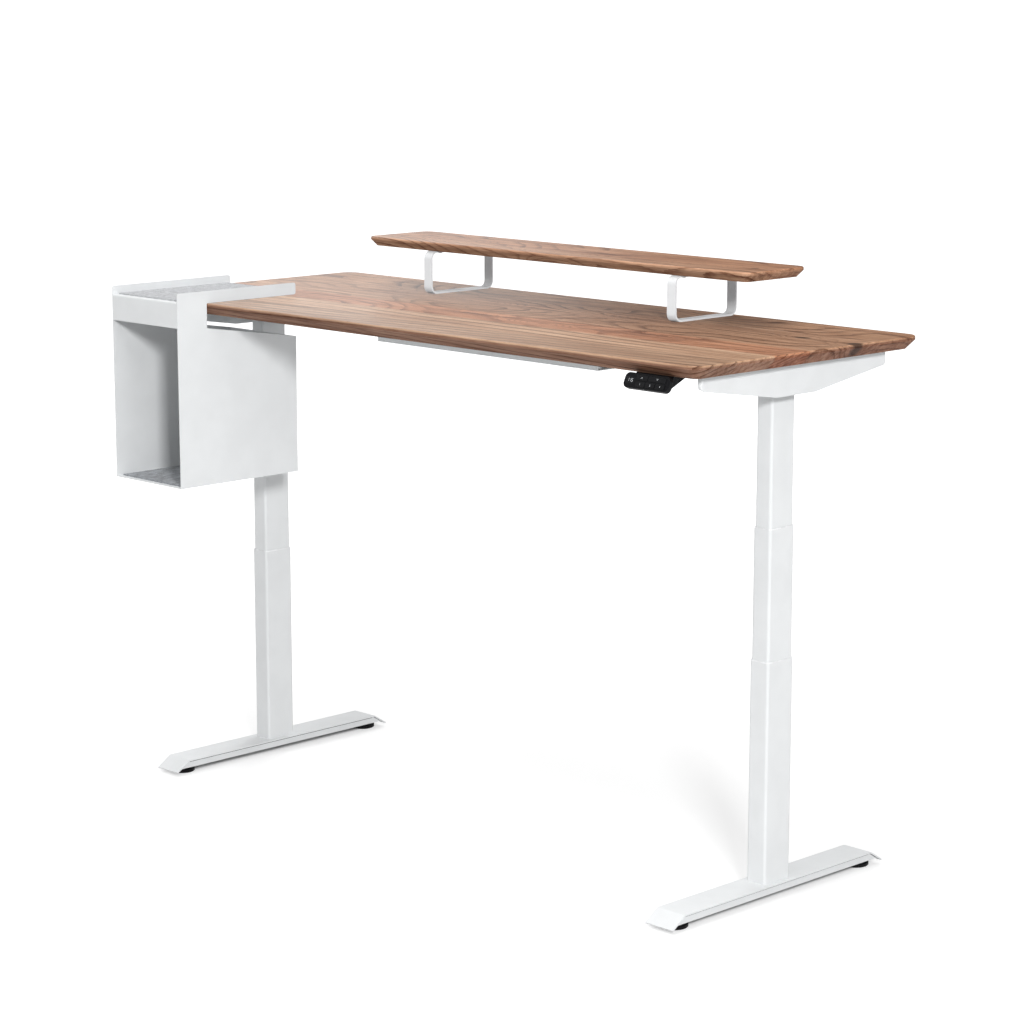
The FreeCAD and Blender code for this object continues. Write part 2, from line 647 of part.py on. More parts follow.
def tray_side(side):
    """Folded side, front (-1) or back (1): a wall welded on the floor, a flange screwed to the top."""
    foot = UNDERSIDE - TRAY_DROP + TRAY_SHEET
    outer, inner = side * TRAY_DEPTH / 2, side * (TRAY_DEPTH / 2 - TRAY_SHEET)
    reach = side * (TRAY_DEPTH / 2 + TRAY_FLANGE)
    profile = [(inner, foot, 0), (outer, foot, 0), (outer, UNDERSIDE - TRAY_SHEET, TRAY_BEND - TRAY_SHEET),
               (reach, UNDERSIDE - TRAY_SHEET, 0), (reach, UNDERSIDE, 0), (inner, UNDERSIDE, TRAY_BEND)]
    shape = along_x(profile, -TRAY_LENGTH / 2, TRAY_LENGTH / 2)
    for x, y in tray_screw_places():
        shape = shape.cut(screw_hole(x, y, UNDERSIDE - TRAY_SHEET, TRAY_SHEET))
    return shape


def tray_screw_places():
    along = TRAY_LENGTH / 2 - TRAY_SCREW_END
    across = TRAY_DEPTH / 2 + TRAY_FLANGE / 2
    return [(x, y) for x in (-along, 0.0, along) for y in (-across, across)]


def box_screw_places():
    along = BOX_LENGTH / 2 + BOX_EAR / 2
    across = BOX_SCREW_SPACING / 2
    return [(x, BOX_BEHIND + y) for x in (-along, along) for y in (-across, across)]


def control_box():
    """Motor controller: a shallow housing with mounting ears and plug sockets in its front wall."""
    low = UNDERSIDE - BOX_HEIGHT
    shape = block(BOX_LENGTH, BOX_DEPTH, BOX_CORNER, 0, BOX_BEHIND, low, UNDERSIDE)
    rim = [e for e in shape.Edges if abs(e.BoundBox.ZMax - low) < 1e-6]
    shape = shape.makeFillet(BOX_ROUND, rim)
    ears = block(BOX_LENGTH + 2 * BOX_EAR, BOX_DEPTH - 2 * BOX_EAR_INSET, BOX_ROUND, 0, BOX_BEHIND,
                 UNDERSIDE - BOX_EAR_THICKNESS, UNDERSIDE)
    shape = shape.fuse(ears).removeSplitter()
    front = BOX_BEHIND - BOX_DEPTH / 2
    middle = UNDERSIDE - BOX_HEIGHT / 2
    openings = [(i * SOCKET_PITCH, SOCKET_WIDTH / 2, SOCKET_HEIGHT / 2) for i in range(SOCKET_COUNT)]
    openings.append((-INLET_FROM_MIDDLE, INLET_WIDTH / 2, INLET_HEIGHT / 2))
    for x, half, rise in openings:
        socket = box(x - half, x + half, front - PAST, front + SOCKET_DEPTH, middle - rise, middle + rise)
        shape = shape.cut(socket)
    for x, y in box_screw_places():
        shape = shape.cut(screw_hole(x, y, UNDERSIDE - BOX_EAR_THICKNESS, BOX_EAR_THICKNESS))
    return shape


def frame_under_top():
    """Brackets, drive heads, rails, cable tray and control box, with their fasteners."""
    bolts, screws = [], []
    bolt_ys, bolt_z = beam_bolt_places()
    for name, side in SIDES:
        x = side * COLUMN_X
        save("side_bracket_" + name, side_bracket(side))
        save("gear_housing_" + name, gear_housing(side))
        save("motor_" + name, motor(side))
        for bolt_x, bolt_y in ear_bolt_places(x):
            seat = Vector(bolt_x, bolt_y, PLATE_UNDER - EAR_THICKNESS)
            bolts.append(bolt(seat, UP, EAR_THICKNESS + BRACKET_SHEET))
        for y in bolt_ys:
            seat = Vector(side * (TAB_X + BRACKET_SHEET), y, bolt_z)
            bolts.append(bolt(seat, Vector(-side, 0, 0), BRACKET_SHEET + BEAM_END_PLATE))
        screws += [wood_screw(sx, sy, PLATE_UNDER) for sx, sy in bracket_screw_places(x)]
    screws += [wood_screw(x, y, UNDERSIDE - TRAY_SHEET) for x, y in tray_screw_places()]
    screws += [wood_screw(x, y, UNDERSIDE - BOX_EAR_THICKNESS) for x, y in box_screw_places()]
    screws += [wood_screw(x, y, UNDERSIDE - KEYPAD_LIP) for x, y in keypad_screw_places()]
    save("crossbeams", crossbeam(-BEAM_SPACING / 2), crossbeam(BEAM_SPACING / 2))
    save("cable_tray_floor", tray_floor())
    save("cable_tray_sides", tray_side(-1), tray_side(1))
    save("control_box", control_box())
    save("frame_bolts", *bolts)
    save("wood_screws", *screws)


def desktop():
    board = bevelled_board(DESK_LENGTH, DESK_DEPTH, DESK_THICKNESS, DESK_CORNER, DESK_BAND, DESK_BEVEL,
                           0, DESK_TOP)
    places = bracket_screw_places(-COLUMN_X) + bracket_screw_places(COLUMN_X)
    places += tray_screw_places() + box_screw_places() + keypad_screw_places()
    holes = [screw_hole(x, y, UNDERSIDE, SCREW_BITE) for x, y in places]
    save("desktop", board.cut(holes))


def shelf_screw_places():
    reach = SHELF_DEPTH / 2 - LEG_SCREW_INSET
    return [(side * LEG_SPACING / 2, SHELF_Y + y) for _, side in SIDES for y in (-reach, reach)]


def shelf_leg(x):
    """Flat bar bent into a closed loop with rounded corners."""
    low_y, high_y = SHELF_Y - SHELF_DEPTH / 2, SHELF_Y + SHELF_DEPTH / 2
    sheet, half = LEG_SHEET, LEG_WIDTH / 2
    loop = [(low_y, DESK_TOP, LEG_BEND), (high_y, DESK_TOP, LEG_BEND),
            (high_y, SHELF_UNDER, LEG_BEND), (low_y, SHELF_UNDER, LEG_BEND)]
    inner = LEG_BEND - sheet
    hole = [(low_y + sheet, DESK_TOP + sheet, inner), (high_y - sheet, DESK_TOP + sheet, inner),
            (high_y - sheet, SHELF_UNDER - sheet, inner), (low_y + sheet, SHELF_UNDER - sheet, inner)]
    shape = along_x(loop, x - half, x + half).cut(along_x(hole, x - half, x + half))
    for screw_x, screw_y in shelf_screw_places():
        shape = shape.cut(screw_hole(screw_x, screw_y, SHELF_UNDER - sheet, sheet))
    return shape


def monitor_shelf():
    top = SHELF_UNDER + SHELF_THICKNESS
    board = bevelled_board(SHELF_LENGTH, SHELF_DEPTH, SHELF_THICKNESS, SHELF_CORNER, SHELF_BAND, SHELF_BEVEL,
                           SHELF_Y, top)
    places = shelf_screw_places()
    holes = [screw_hole(x, y, SHELF_UNDER, SCREW_BITE) for x, y in places]
    save("shelf_board", board.cut(holes))
    for name, side in SIDES:
        save("shelf_leg_" + name, shelf_leg(side * LEG_SPACING / 2))
    save("shelf_screws", *[wood_screw(x, y, SHELF_UNDER - LEG_SHEET) for x, y in places])


def on_keypad(shape):
    """Turn a shape drawn flat, with its face up at the origin, to the keypad's tilted face."""
    turned = shape.copy()
    turned.rotate(Vector(0, 0, 0), Vector(1, 0, 0), 90 - KEYPAD_TILT)
    turned.translate(Vector(KEYPAD_X, KEYPAD_Y, KEYPAD_Z))
    return turned


def keypad_screw_places():
    y = FRONT_EDGE + DESK_BEVEL + KEYPAD_MOUNT_REACH / 2
    along = KEYPAD_SCREW_SPACING / 2
    return [(KEYPAD_X - along, y), (KEYPAD_X + along, y)]


def key_places():
    """Name, length and middle of every key: u runs along the face and v up it."""
    right = KEYPAD_LENGTH / 2 - KEYS_FROM_END
    rows = [(KEY_ROW / 2, (("key_down", DOWN_KEY), ("key_up", UP_KEY))),
            (-KEY_ROW / 2, (("key_3", SMALL_KEY), ("key_2", SMALL_KEY), ("key_1", SMALL_KEY)))]
    places = []
    for v, keys in rows:
        end = right
        for name, length in keys:
            places.append((name, length, end - length / 2, v))
            end -= length + KEY_SPACE
    return places


def keypad():
    """Tilted hand keypad: a rounded slab with key pockets, a screen and a wedge behind it."""
    slab = block(KEYPAD_LENGTH, KEYPAD_HEIGHT, KEYPAD_CORNER, 0, 0, -KEYPAD_THICKNESS, 0)
    rim = [e for e in slab.Edges if e.BoundBox.ZLength < 1e-6]
    slab = slab.makeFillet(KEYPAD_ROUND, rim)
    for name, length, u, v in key_places():
        pocket = block(length + 2 * KEY_GAP, KEY_HEIGHT + 2 * KEY_GAP, KEY_CORNER + KEY_GAP,
                       u, v, -KEY_POCKET, PAST)
        slab = slab.cut(pocket)
        key = block(length, KEY_HEIGHT, KEY_CORNER, u, v, KEY_TRAVEL_ROOM - KEY_POCKET, KEY_PROUD)
        crown = [e for e in key.Edges if abs(e.BoundBox.ZMin - KEY_PROUD) < 1e-6]
        save(name, on_keypad(key.makeFillet(KEY_ROUND, crown)))
    u = -KEYPAD_LENGTH / 2 + FACE_MARGIN + SCREEN_WIDTH / 2
    screen = block(SCREEN_WIDTH, SCREEN_HEIGHT, SCREEN_CORNER, u, 0, -SCREEN_DEPTH, 0)
    save("keypad_screen", on_keypad(screen))
    save("keypad_body", on_keypad(slab.cut(screen)))
    save("keypad_mount", keypad_mount())


def keypad_mount():
    """Wedge behind the keypad, screwed to the underside of the top."""
    front = FRONT_EDGE + DESK_BEVEL
    rear = front + KEYPAD_MOUNT_REACH
    back_y = KEYPAD_Y + TILT_COS * KEYPAD_THICKNESS
    back_z = KEYPAD_Z - TILT_SIN * KEYPAD_THICKNESS
    rise = KEYPAD_MOUNT_FACE / 2
    wedge = [(back_y - TILT_SIN * rise, back_z - TILT_COS * rise, 0), (rear, UNDERSIDE - KEYPAD_LIP, 0),
             (rear, UNDERSIDE, 0), (front, UNDERSIDE, 0),
             (back_y + TILT_SIN * rise, back_z + TILT_COS * rise, 0)]
    half = KEYPAD_MOUNT_LENGTH / 2
    shape = along_x(wedge, KEYPAD_X - half, KEYPAD_X + half)
    well_bottom = KEYPAD_Z - KEYPAD_HEIGHT
    well_depth = UNDERSIDE - KEYPAD_LIP - well_bottom
    for x, y in keypad_screw_places():
        well = cylinder(SCREW_HEAD + 2 * SCREW_HEAD_GAP, Vector(x, y, well_bottom), UP, well_depth)
        shape = shape.cut([well, screw_hole(x, y, UNDERSIDE - KEYPAD_LIP, KEYPAD_LIP)])
    return shape


def pannier_side(x0, x1):
    """Side sheet with an arm over the desk, a slot for the board and bracket, and the box wall below."""
    low_arm = DESK_TOP + ARM_GAP
    slot_low_front = DESK_TOP - SLOT_FRONT_DROP
    slot_low_back = DESK_TOP - SLOT_BACK_DROP
    top = DESK_TOP + ARM_HEIGHT
    profile = [(PANNIER_FRONT, PANNIER_BOTTOM, 0), (PANNIER_BACK, PANNIER_BOTTOM, 0),
               (PANNIER_BACK, slot_low_back, 0), (SLOT_FRONT, slot_low_front, SLOT_CORNER),
               (SLOT_FRONT, low_arm, SLOT_CORNER), (PANNIER_BACK, low_arm, ARM_CORNER),
               (PANNIER_BACK, top, ARM_CORNER), (PANNIER_FRONT, top, ARM_CORNER)]
    return along_x(profile, x0, x1)


def pannier():
    """Hook-on pannier: two slotted sides, a back, a bottom, a folded tray and two felt mats."""
    sheet = PANNIER_SHEET
    inner_left, inner_right = PANNIER_LEFT + sheet, PANNIER_RIGHT - sheet
    save("pannier_left_side", pannier_side(PANNIER_LEFT, inner_left))
    save("pannier_right_side", pannier_side(inner_right, PANNIER_RIGHT))
    floor = PANNIER_BOTTOM + sheet
    save("pannier_bottom", box(inner_left, inner_right, PANNIER_FRONT, PANNIER_BACK, PANNIER_BOTTOM, floor))
    save("pannier_back", box(inner_left, inner_right, PANNIER_BACK - sheet, PANNIER_BACK, floor,
                             DESK_TOP - SLOT_BACK_DROP))
    under = DESK_TOP + FLOOR_LIFT
    top = under + sheet
    rear = PANNIER_BACK - FLOOR_BACK_GAP
    hem = DESK_TOP - APRON_DROP
    fold = [(rear, under, 0), (rear, top, 0), (PANNIER_FRONT, top, FLOOR_BEND), (PANNIER_FRONT, hem, 0),
            (PANNIER_FRONT + sheet, hem, 0), (PANNIER_FRONT + sheet, under, FLOOR_BEND - sheet)]
    save("pannier_tray", along_x(fold, inner_left, inner_right))
    mid_x = (inner_left + inner_right) / 2
    width = inner_right - inner_left - 2 * FELT_MARGIN
    front = PANNIER_FRONT + FELT_FRONT_GAP
    for name, back, height in (("tray_felt", rear, top), ("box_felt", PANNIER_BACK - sheet, floor)):
        depth = back - front - 2 * FELT_MARGIN
        mid_y = (front + back) / 2
        save(name, block(width, depth, FELT_CORNER, mid_x, mid_y, height, height + FELT_THICKNESS))


os.makedirs("parts", exist_ok=True)
base_and_columns()
frame_under_top()
desktop()
monitor_shelf()
keypad()
pannier()
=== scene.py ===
"""Looks of a height-adjustable desk: oiled boards, powder-coated steel, felt mats and a hand keypad."""

import json
import math

import bmesh
import bpy
from mathutils import Matrix, Vector, noise


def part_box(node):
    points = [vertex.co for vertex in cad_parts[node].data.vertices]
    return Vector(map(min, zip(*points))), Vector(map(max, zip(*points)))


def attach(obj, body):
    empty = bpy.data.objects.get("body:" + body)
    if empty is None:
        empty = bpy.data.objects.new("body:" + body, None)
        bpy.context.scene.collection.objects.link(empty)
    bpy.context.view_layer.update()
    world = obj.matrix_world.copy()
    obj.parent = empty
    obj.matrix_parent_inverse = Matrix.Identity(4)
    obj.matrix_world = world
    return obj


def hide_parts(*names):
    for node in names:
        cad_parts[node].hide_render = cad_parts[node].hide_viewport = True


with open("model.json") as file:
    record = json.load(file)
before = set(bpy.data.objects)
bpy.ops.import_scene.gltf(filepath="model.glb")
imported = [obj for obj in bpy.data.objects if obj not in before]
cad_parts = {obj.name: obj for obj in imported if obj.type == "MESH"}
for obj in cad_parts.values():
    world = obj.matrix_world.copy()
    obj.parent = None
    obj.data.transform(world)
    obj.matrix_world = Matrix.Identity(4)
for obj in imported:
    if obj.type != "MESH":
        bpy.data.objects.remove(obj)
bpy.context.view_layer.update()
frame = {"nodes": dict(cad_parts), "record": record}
nodes = frame["nodes"]

# Camera, at the photograph's viewing angle
CAMERA_PLACE = (4.4867, -4.3281, 1.8934)
CAMERA_YAW = 45.5
CAMERA_PITCH = -10.74
CAMERA_LENS = 99.81
SENSOR = 36.0

# Boards: staves run along X, and their tones are given from front to back
STAVE_START = -0.302
STAVE_WIDTH = 0.110
DESK_TONES = [
    (0.675, 0.441, 0.285), (0.818, 0.540, 0.352), (0.763, 0.383, 0.219), (0.697, 0.418, 0.259),
    (0.686, 0.411, 0.255), (0.697, 0.416, 0.255), (0.709, 0.415, 0.250),
]
SHELF_STAVE_START = 0.150
SHELF_STAVE_WIDTH = 0.090
SHELF_TONES = [(0.775, 0.456, 0.283), (0.741, 0.407, 0.242), (0.709, 0.390, 0.230)]

# Painted shade on bevels and undersides: their tone as a share of the face's, and the depths between which
# it comes in
DESK_EDGE_SHADE = (0.51, 0.45, 0.48)
SHELF_EDGE_SHADE = (0.76, 0.78, 0.82)
FACE_ENDS = 0.0015
EDGE_STARTS = 0.005

# Straight-grained staves at the front of the desk: their logs lie far aside and wander little, and they have
# fewer streaks
STRAIGHT_STAVES = 2
STRAIGHT_ASIDE = -0.32
STRAIGHT_WANDER = 0.12
STRAIGHT_STREAKS = 0.4

# Knots, and arched figures without a heart: place, size, slimness across the grain and the heart's darkness
DESK_KNOTS = [
    ((0.893, 0.180), 0.022, 1.0, 0.80),
    ((0.752, 0.182), 0.024, 1.8, 0.80),
    ((0.33, 0.18), 0.060, 3.4, 0.0),
    ((-0.19, 0.17), 0.055, 3.4, 0.0),
    ((0.06, 0.31), 0.045, 3.4, 0.0),
    ((0.20, -0.03), 0.040, 3.4, 0.0),
]
SHELF_KNOTS = [
    ((0.40, 0.25), 0.050, 3.4, 0.0),
    ((0.02, 0.22), 0.055, 3.4, 0.0),
    ((-0.36, 0.27), 0.050, 3.4, 0.0),
    ((0.545, 0.27), 0.014, 1.4, 0.6),
]
# Reach of a knot's swell and heart in sizes of the knot, its rise and depth, and how ragged its outline is
SWELL_REACH = (3.2, 0.2)
SWELL_RISE = 1.5
HEART_REACH = (1.1, 0.45)
KNOT_DEPTH = 0.4
RAGGED_SCALE = 40.0
RAGGEDNESS = 0.012

# Logs: each stave draws how far aside, how tilted and how deep its log lies, and shifts its grain by a step
LOG_DRAWS = (0.31, 7.77, 15.13)
LOG_STEP = 3.7
LOG_ASIDE = 0.10
LOG_TILT = 0.16
LOG_DEPTH = 0.05
# Wander of a log: repeats in a metre along each axis, detail and amount
LOG_SWAY = ((1.7, 0.6, 0.6), 1.0, 0.16)
LOG_WAVES = ((1.7, 3.0, 3.0), 1.0, 0.24)
LOG_RIPPLES = ((6.0, 26.0, 26.0), 2.0, 0.006)
LOG_JAGS = ((70.0, 130.0, 130.0), 1.0, 0.0030)

# Rings: the shares of a ring at which its late wood starts, is darkest and begins to end
RING_WIDTH = 0.0130
LATE_STARTS = 0.54
LATE_DARKEST = 0.95
LATE_ENDS = 0.96
# Patterns of the grain: repeats in a metre along each axis, detail and roughness
STRENGTH_PATTERN = ((1.4, 8.0, 8.0), 2.0)
DASH_PATTERN = ((26.0, 190.0, 190.0), 2.0, 0.6)
FIBRE_PATTERN = ((3.0, 75.0, 75.0), 7.0, 0.74)
STREAK_PATTERN = ((5.0, 44.0, 44.0), 5.0, 0.68)
PORE_PATTERN = ((34.0, 620.0, 620.0), 2.0, 0.6)
CLOUD_PATTERN = ((2.4, 14.0, 14.0), 3.0)
# How they fade in: from, to, and the shares there
STRENGTH_FADE = (0.30, 0.62, 0.25, 1.0)
DASH_FADE = (0.34, 0.50, 0.60, 1.0)
PORE_FADE = (0.58, 0.68)
CLOUD_FADE = (0.35, 0.75, 0.0, 0.60)
FIBRE_FADE = (0.36, 0.62, 0.0, 0.80)
STREAK_FADE = (0.50, 0.64, 0.0, 0.70)
GLUE_FADE = (0.494, 0.499, 0.0, 0.35)
PORE_SHARE = 0.50

# Stains that the wood's tone is multiplied by
CLOUD_STAIN = (0.70, 0.60, 0.54)
FIBRE_STAIN = (0.58, 0.49, 0.44)
STREAK_STAIN = (0.52, 0.43, 0.38)
LATE_STAIN = (0.33, 0.24, 0.20)
PORE_STAIN = (0.50, 0.42, 0.38)
GLUE_STAIN = (0.45, 0.38, 0.34)
HEART_BROWN = (0.045, 0.026, 0.018)

# Oiled face: roughness of wood and oil, the oil's share over a pore, the relief, and the tone in which the
# wood lights the pieces round it
WOOD_ROUGHNESS = (0.50, 0.65)
OIL_ROUGHNESS = 0.32
OIL_OVER_PORE = 0.6
RELIEF_SHARE = 0.6
WOOD_BUMP = (0.16, 0.0004)
WOOD_BOUNCE = (0.42, 0.41, 0.41)

# Colours of the other finishes
WHITE_COAT = (0.825, 0.84, 0.848)
# Painted light: a brighter copy of the white coat for the shelf's legs, which stand in less light
LEG_LIT_WHITE = (0.905, 0.915, 0.925)
# Painted shadow: the dark grey of the strip laid under the edges of each foot's strip
SHADOW_LINE_GREY = (0.20, 0.205, 0.21)
CAP_WHITE = (0.78, 0.79, 0.80)
BLACK = (0.006, 0.006, 0.007)
KEY_BLACK = (0.008, 0.008, 0.009)
DRIVE_BLACK = (0.035, 0.035, 0.037)
WINDOW_BLACK = (0.006, 0.006, 0.007)
WINDOW_SMEAR = (0.010, 0.010, 0.012)
ZINC = (0.58, 0.58, 0.59)
SIGN_WHITE = (0.72, 0.74, 0.75)
TRAY_FELT = (0.50, 0.51, 0.53)
BOX_FELT = (0.320, 0.338, 0.366)

# Usual span of a noise's values
NOISE_SPAN = (0.3, 0.7)

# Powder coat and moulded plastic: scales of the grain and of the cloudy tone
PEEL_SCALE = 620.0
SPECK_SCALE = 2100.0
SPECK_SHARE = 0.4
COAT_CLOUD_SCALE = 14.0
EROSION_SCALE = 1900.0
MOULD_CLOUD_SCALE = 60.0

# Zinc, window and print: the brushed pattern, and scales of clouds, smears and ink
BRUSH_PATTERN = ((900.0, 900.0, 60.0), 3.0)
ZINC_CLOUD_SCALE = 40.0
SMEAR_SCALE = 120.0
INK_SCALE = 2500.0

# Felt: fibres of two directions and a mottle, as repeats in a metre, detail, roughness and distortion
WOOL_ALONG = ((140.0, 900.0, 600.0), 3.0, 0.65, 1.2)
WOOL_ACROSS = ((900.0, 170.0, 600.0), 3.0, 0.65, 1.2)
WOOL_MOTTLE = ((120.0, 45.0, 60.0), 4.0, 0.65, 0.3)
MOTTLE_SPAN = (0.42, 0.60)
FELT_BUMP = (0.65, 0.0008)

# Shape of the felt mats, and the scales and shares of their unevenness
FELT_CELL = 0.003
FELT_CORNER = 0.006
FELT_EDGE = 0.004
FELT_EDGE_DROP = 0.0012
FELT_RISE = 0.00025
FELT_WAVES = ((55.0, 1.0), (170.0, 0.5))

# Loose fibres, on faces whose normal has more than the upward share; the curl is for a fibre of length one
FIBRE_DENSITY = 26000.0
FIBRE_LENGTH = 0.0045
FIBRE_RADIUS = 0.00012
FIBRE_SEED = 4
FIBRE_CURL = {"Start": (-0.5, 0.0, 0.0), "Middle": (0.0, 0.28, 0.05), "End": (0.5, 0.0, 0.0)}
FIBRE_STEPS = 4
FIBRE_SIDES = 3
FIBRE_LEAN = 0.08
UPWARD = 0.7

# Painted shadow line between each foot's strip and its walls: a dark strip where only shade falls
FEET = ("foot_left", "foot_right")
FOOT_SHEET = 0.003
FOOT_WALL_INSET = 0.005
SHADOW_LINE_HEIGHT = 0.0029
SHADOW_LINE_PROUD = 0.0004
SHADOW_LINE_SHORT = 0.0425

# Signs on the hand keypad, whose face leans back by the tilt; the arrow is in shares of a sign's height
KEYPAD_TILT = 25.0
SIGN_HEIGHT = 0.0036
SIGN_RISE = 0.00008
TEXT_SIZE = 1.35 * SIGN_HEIGHT
ARROW_HALF = 0.55 * SIGN_HEIGHT
ARROW_RISE = 0.42 * SIGN_HEIGHT
ARROW_PEN = 0.24 * SIGN_HEIGHT
SAME_POINT = 1e-7

# Height on the display: the lit bars of each digit
DISPLAY_DIGITS = ("bc", "bc", "afgcd")
DIGIT_HEIGHT = 0.0060
DIGIT_WIDTH = 0.0033
DIGIT_PITCH = 0.0050
SEGMENT = 0.0007
SEGMENT_GAP = 0.7 * SEGMENT

# Floor: it goes white between near and far, and loses its glow between two depths inside a foot's outline, a
# painted contact shadow
FLOOR_REACH = 400.0
FLOOR_COLOUR = (0.62, 0.62, 0.62)
FLOOR_GLOW = 0.48
FLOOR_NEAR = 2.2
FLOOR_FAR = 6.0
FLOOR_POLISH = 0.03
FLOOR_POLISH_ROUGHNESS = 0.08
SHADE_FROM = -0.034
SHADE_TO = -0.014

# Room: its soft light and, in a gloss, a dim room whose white side fades in towards -X
ROOM_LIGHT = 0.43
ROOM_GLOSS = 0.06
WHITE_STARTS = -0.665
WHITE_FULL = -0.715

# Lamps: name, place, aim, size, power and whether they show in a gloss
LAMPS = [
    ("overhead", (0.5, -1.9, 7.0), (0.0, 0.0, 0.8), 4.0, 190.0, True),
    ("right_key", (5.4, -3.8, 3.3), (0.2, 0.0, 0.9), 0.9, 280.0, False),
    ("back_fill", (-3.0, 4.5, 4.5), (0.0, 0.0, 0.8), 3.0, 165.0, False),
]


def new_group(name, inputs, outputs):
    """Empty shader node group with named sockets; sockets are given as name: type."""
    group = bpy.data.node_groups.new(name, "ShaderNodeTree")
    for label, kind in inputs.items():
        group.interface.new_socket(label, in_out="INPUT", socket_type="NodeSocket" + kind)
    for label, kind in outputs.items():
        group.interface.new_socket(label, in_out="OUTPUT", socket_type="NodeSocket" + kind)
    return group, group.nodes.new("NodeGroupInput"), group.nodes.new("NodeGroupOutput")


class Wiring:
    """Short words for building a node tree. A value is a number, a vector or another node's socket."""

    def __init__(self, tree):
        self.tree = tree

    def make(self, kind):
        return self.tree.nodes.new("ShaderNode" + kind)

    def put(self, socket, value):
        if isinstance(value, bpy.types.NodeSocket):
            self.tree.links.new(value, socket)
        elif value is not None:
            socket.default_value = value

    def math(self, operation, a, b=None, c=None):
        node = self.make("Math")
        node.operation = operation
        for socket, value in zip(node.inputs, (a, b, c)):
            self.put(socket, value)
        return node.outputs[0]

    def vector(self, operation, a, b):
        node = self.make("VectorMath")
        node.operation = operation
        self.put(node.inputs[0], a)
        self.put(node.inputs[1], b)
        return node.outputs[0]

    def length(self, vector):
        node = self.make("VectorMath")
        node.operation = "LENGTH"
        self.put(node.inputs[0], vector)
        return node.outputs["Value"]

    def split(self, vector):
        node = self.make("SeparateXYZ")
        self.put(node.inputs[0], vector)
        return node.outputs

    def joined(self, x, y, z):
        node = self.make("CombineXYZ")
        for socket, value in zip(node.inputs, (x, y, z)):
            self.put(socket, value)
        return node.outputs[0]

    def noise(self, vector, scale, detail=2.0, roughness=0.5, distortion=0.0):
        node = self.make("TexNoise")
        self.put(node.inputs["Vector"], vector)
        node.inputs["Scale"].default_value = scale
        node.inputs["Detail"].default_value = detail
        node.inputs["Roughness"].default_value = roughness
        node.inputs["Distortion"].default_value = distortion
        return node.outputs["Fac"]

    def pattern(self, vector, repeats, *look):
        """Noise with its own repeats in a metre along each axis."""
        return self.noise(self.vector("MULTIPLY", vector, repeats), 1.0, *look)

    def chance(self, value):
        node = self.make("TexWhiteNoise")
        node.noise_dimensions = "1D"
        self.put(node.inputs["W"], value)
        return node.outputs["Value"]

    def fade(self, value, from_low, from_high, to_low=0.0, to_high=1.0):
        node = self.make("MapRange")
        node.interpolation_type = "SMOOTHSTEP"
        self.put(node.inputs["Value"], value)
        node.inputs["From Min"].default_value = from_low
        node.inputs["From Max"].default_value = from_high
        node.inputs["To Min"].default_value = to_low
        node.inputs["To Max"].default_value = to_high
        return node.outputs["Result"]

    def spread(self, value, low=0.0, high=1.0):
        """Noise drawn out to reach from low to high."""
        return self.fade(value, *NOISE_SPAN, low, high)

    def mix(self, factor, a, b, blend="MIX"):
        node = self.make("Mix")
        node.data_type = "RGBA"
        node.blend_type = blend
        self.put(node.inputs[0], factor)
        for socket, colour in ((node.inputs[6], a), (node.inputs[7], b)):
            self.put(socket, (*colour, 1.0) if isinstance(colour, tuple) else colour)
        return node.outputs[2]

    def stained(self, share, colour, stain):
        """Colour multiplied by a stain, as far as the share says."""
        return self.mix(share, colour, self.mix(1.0, colour, stain, "MULTIPLY"))

    def bump(self, height, strength, distance):
        node = self.make("Bump")
        node.inputs["Strength"].default_value = strength
        node.inputs["Distance"].default_value = distance
        self.put(node.inputs["Height"], height)
        return node.outputs["Normal"]

    def place(self):
        return self.make("TexCoord").outputs["Object"]

    def group(self, group, **values):
        node = self.make("Group")
        node.node_tree = group
        for label, value in values.items():
            self.put(node.inputs[label.replace("_", " ")], value)
        return node.outputs


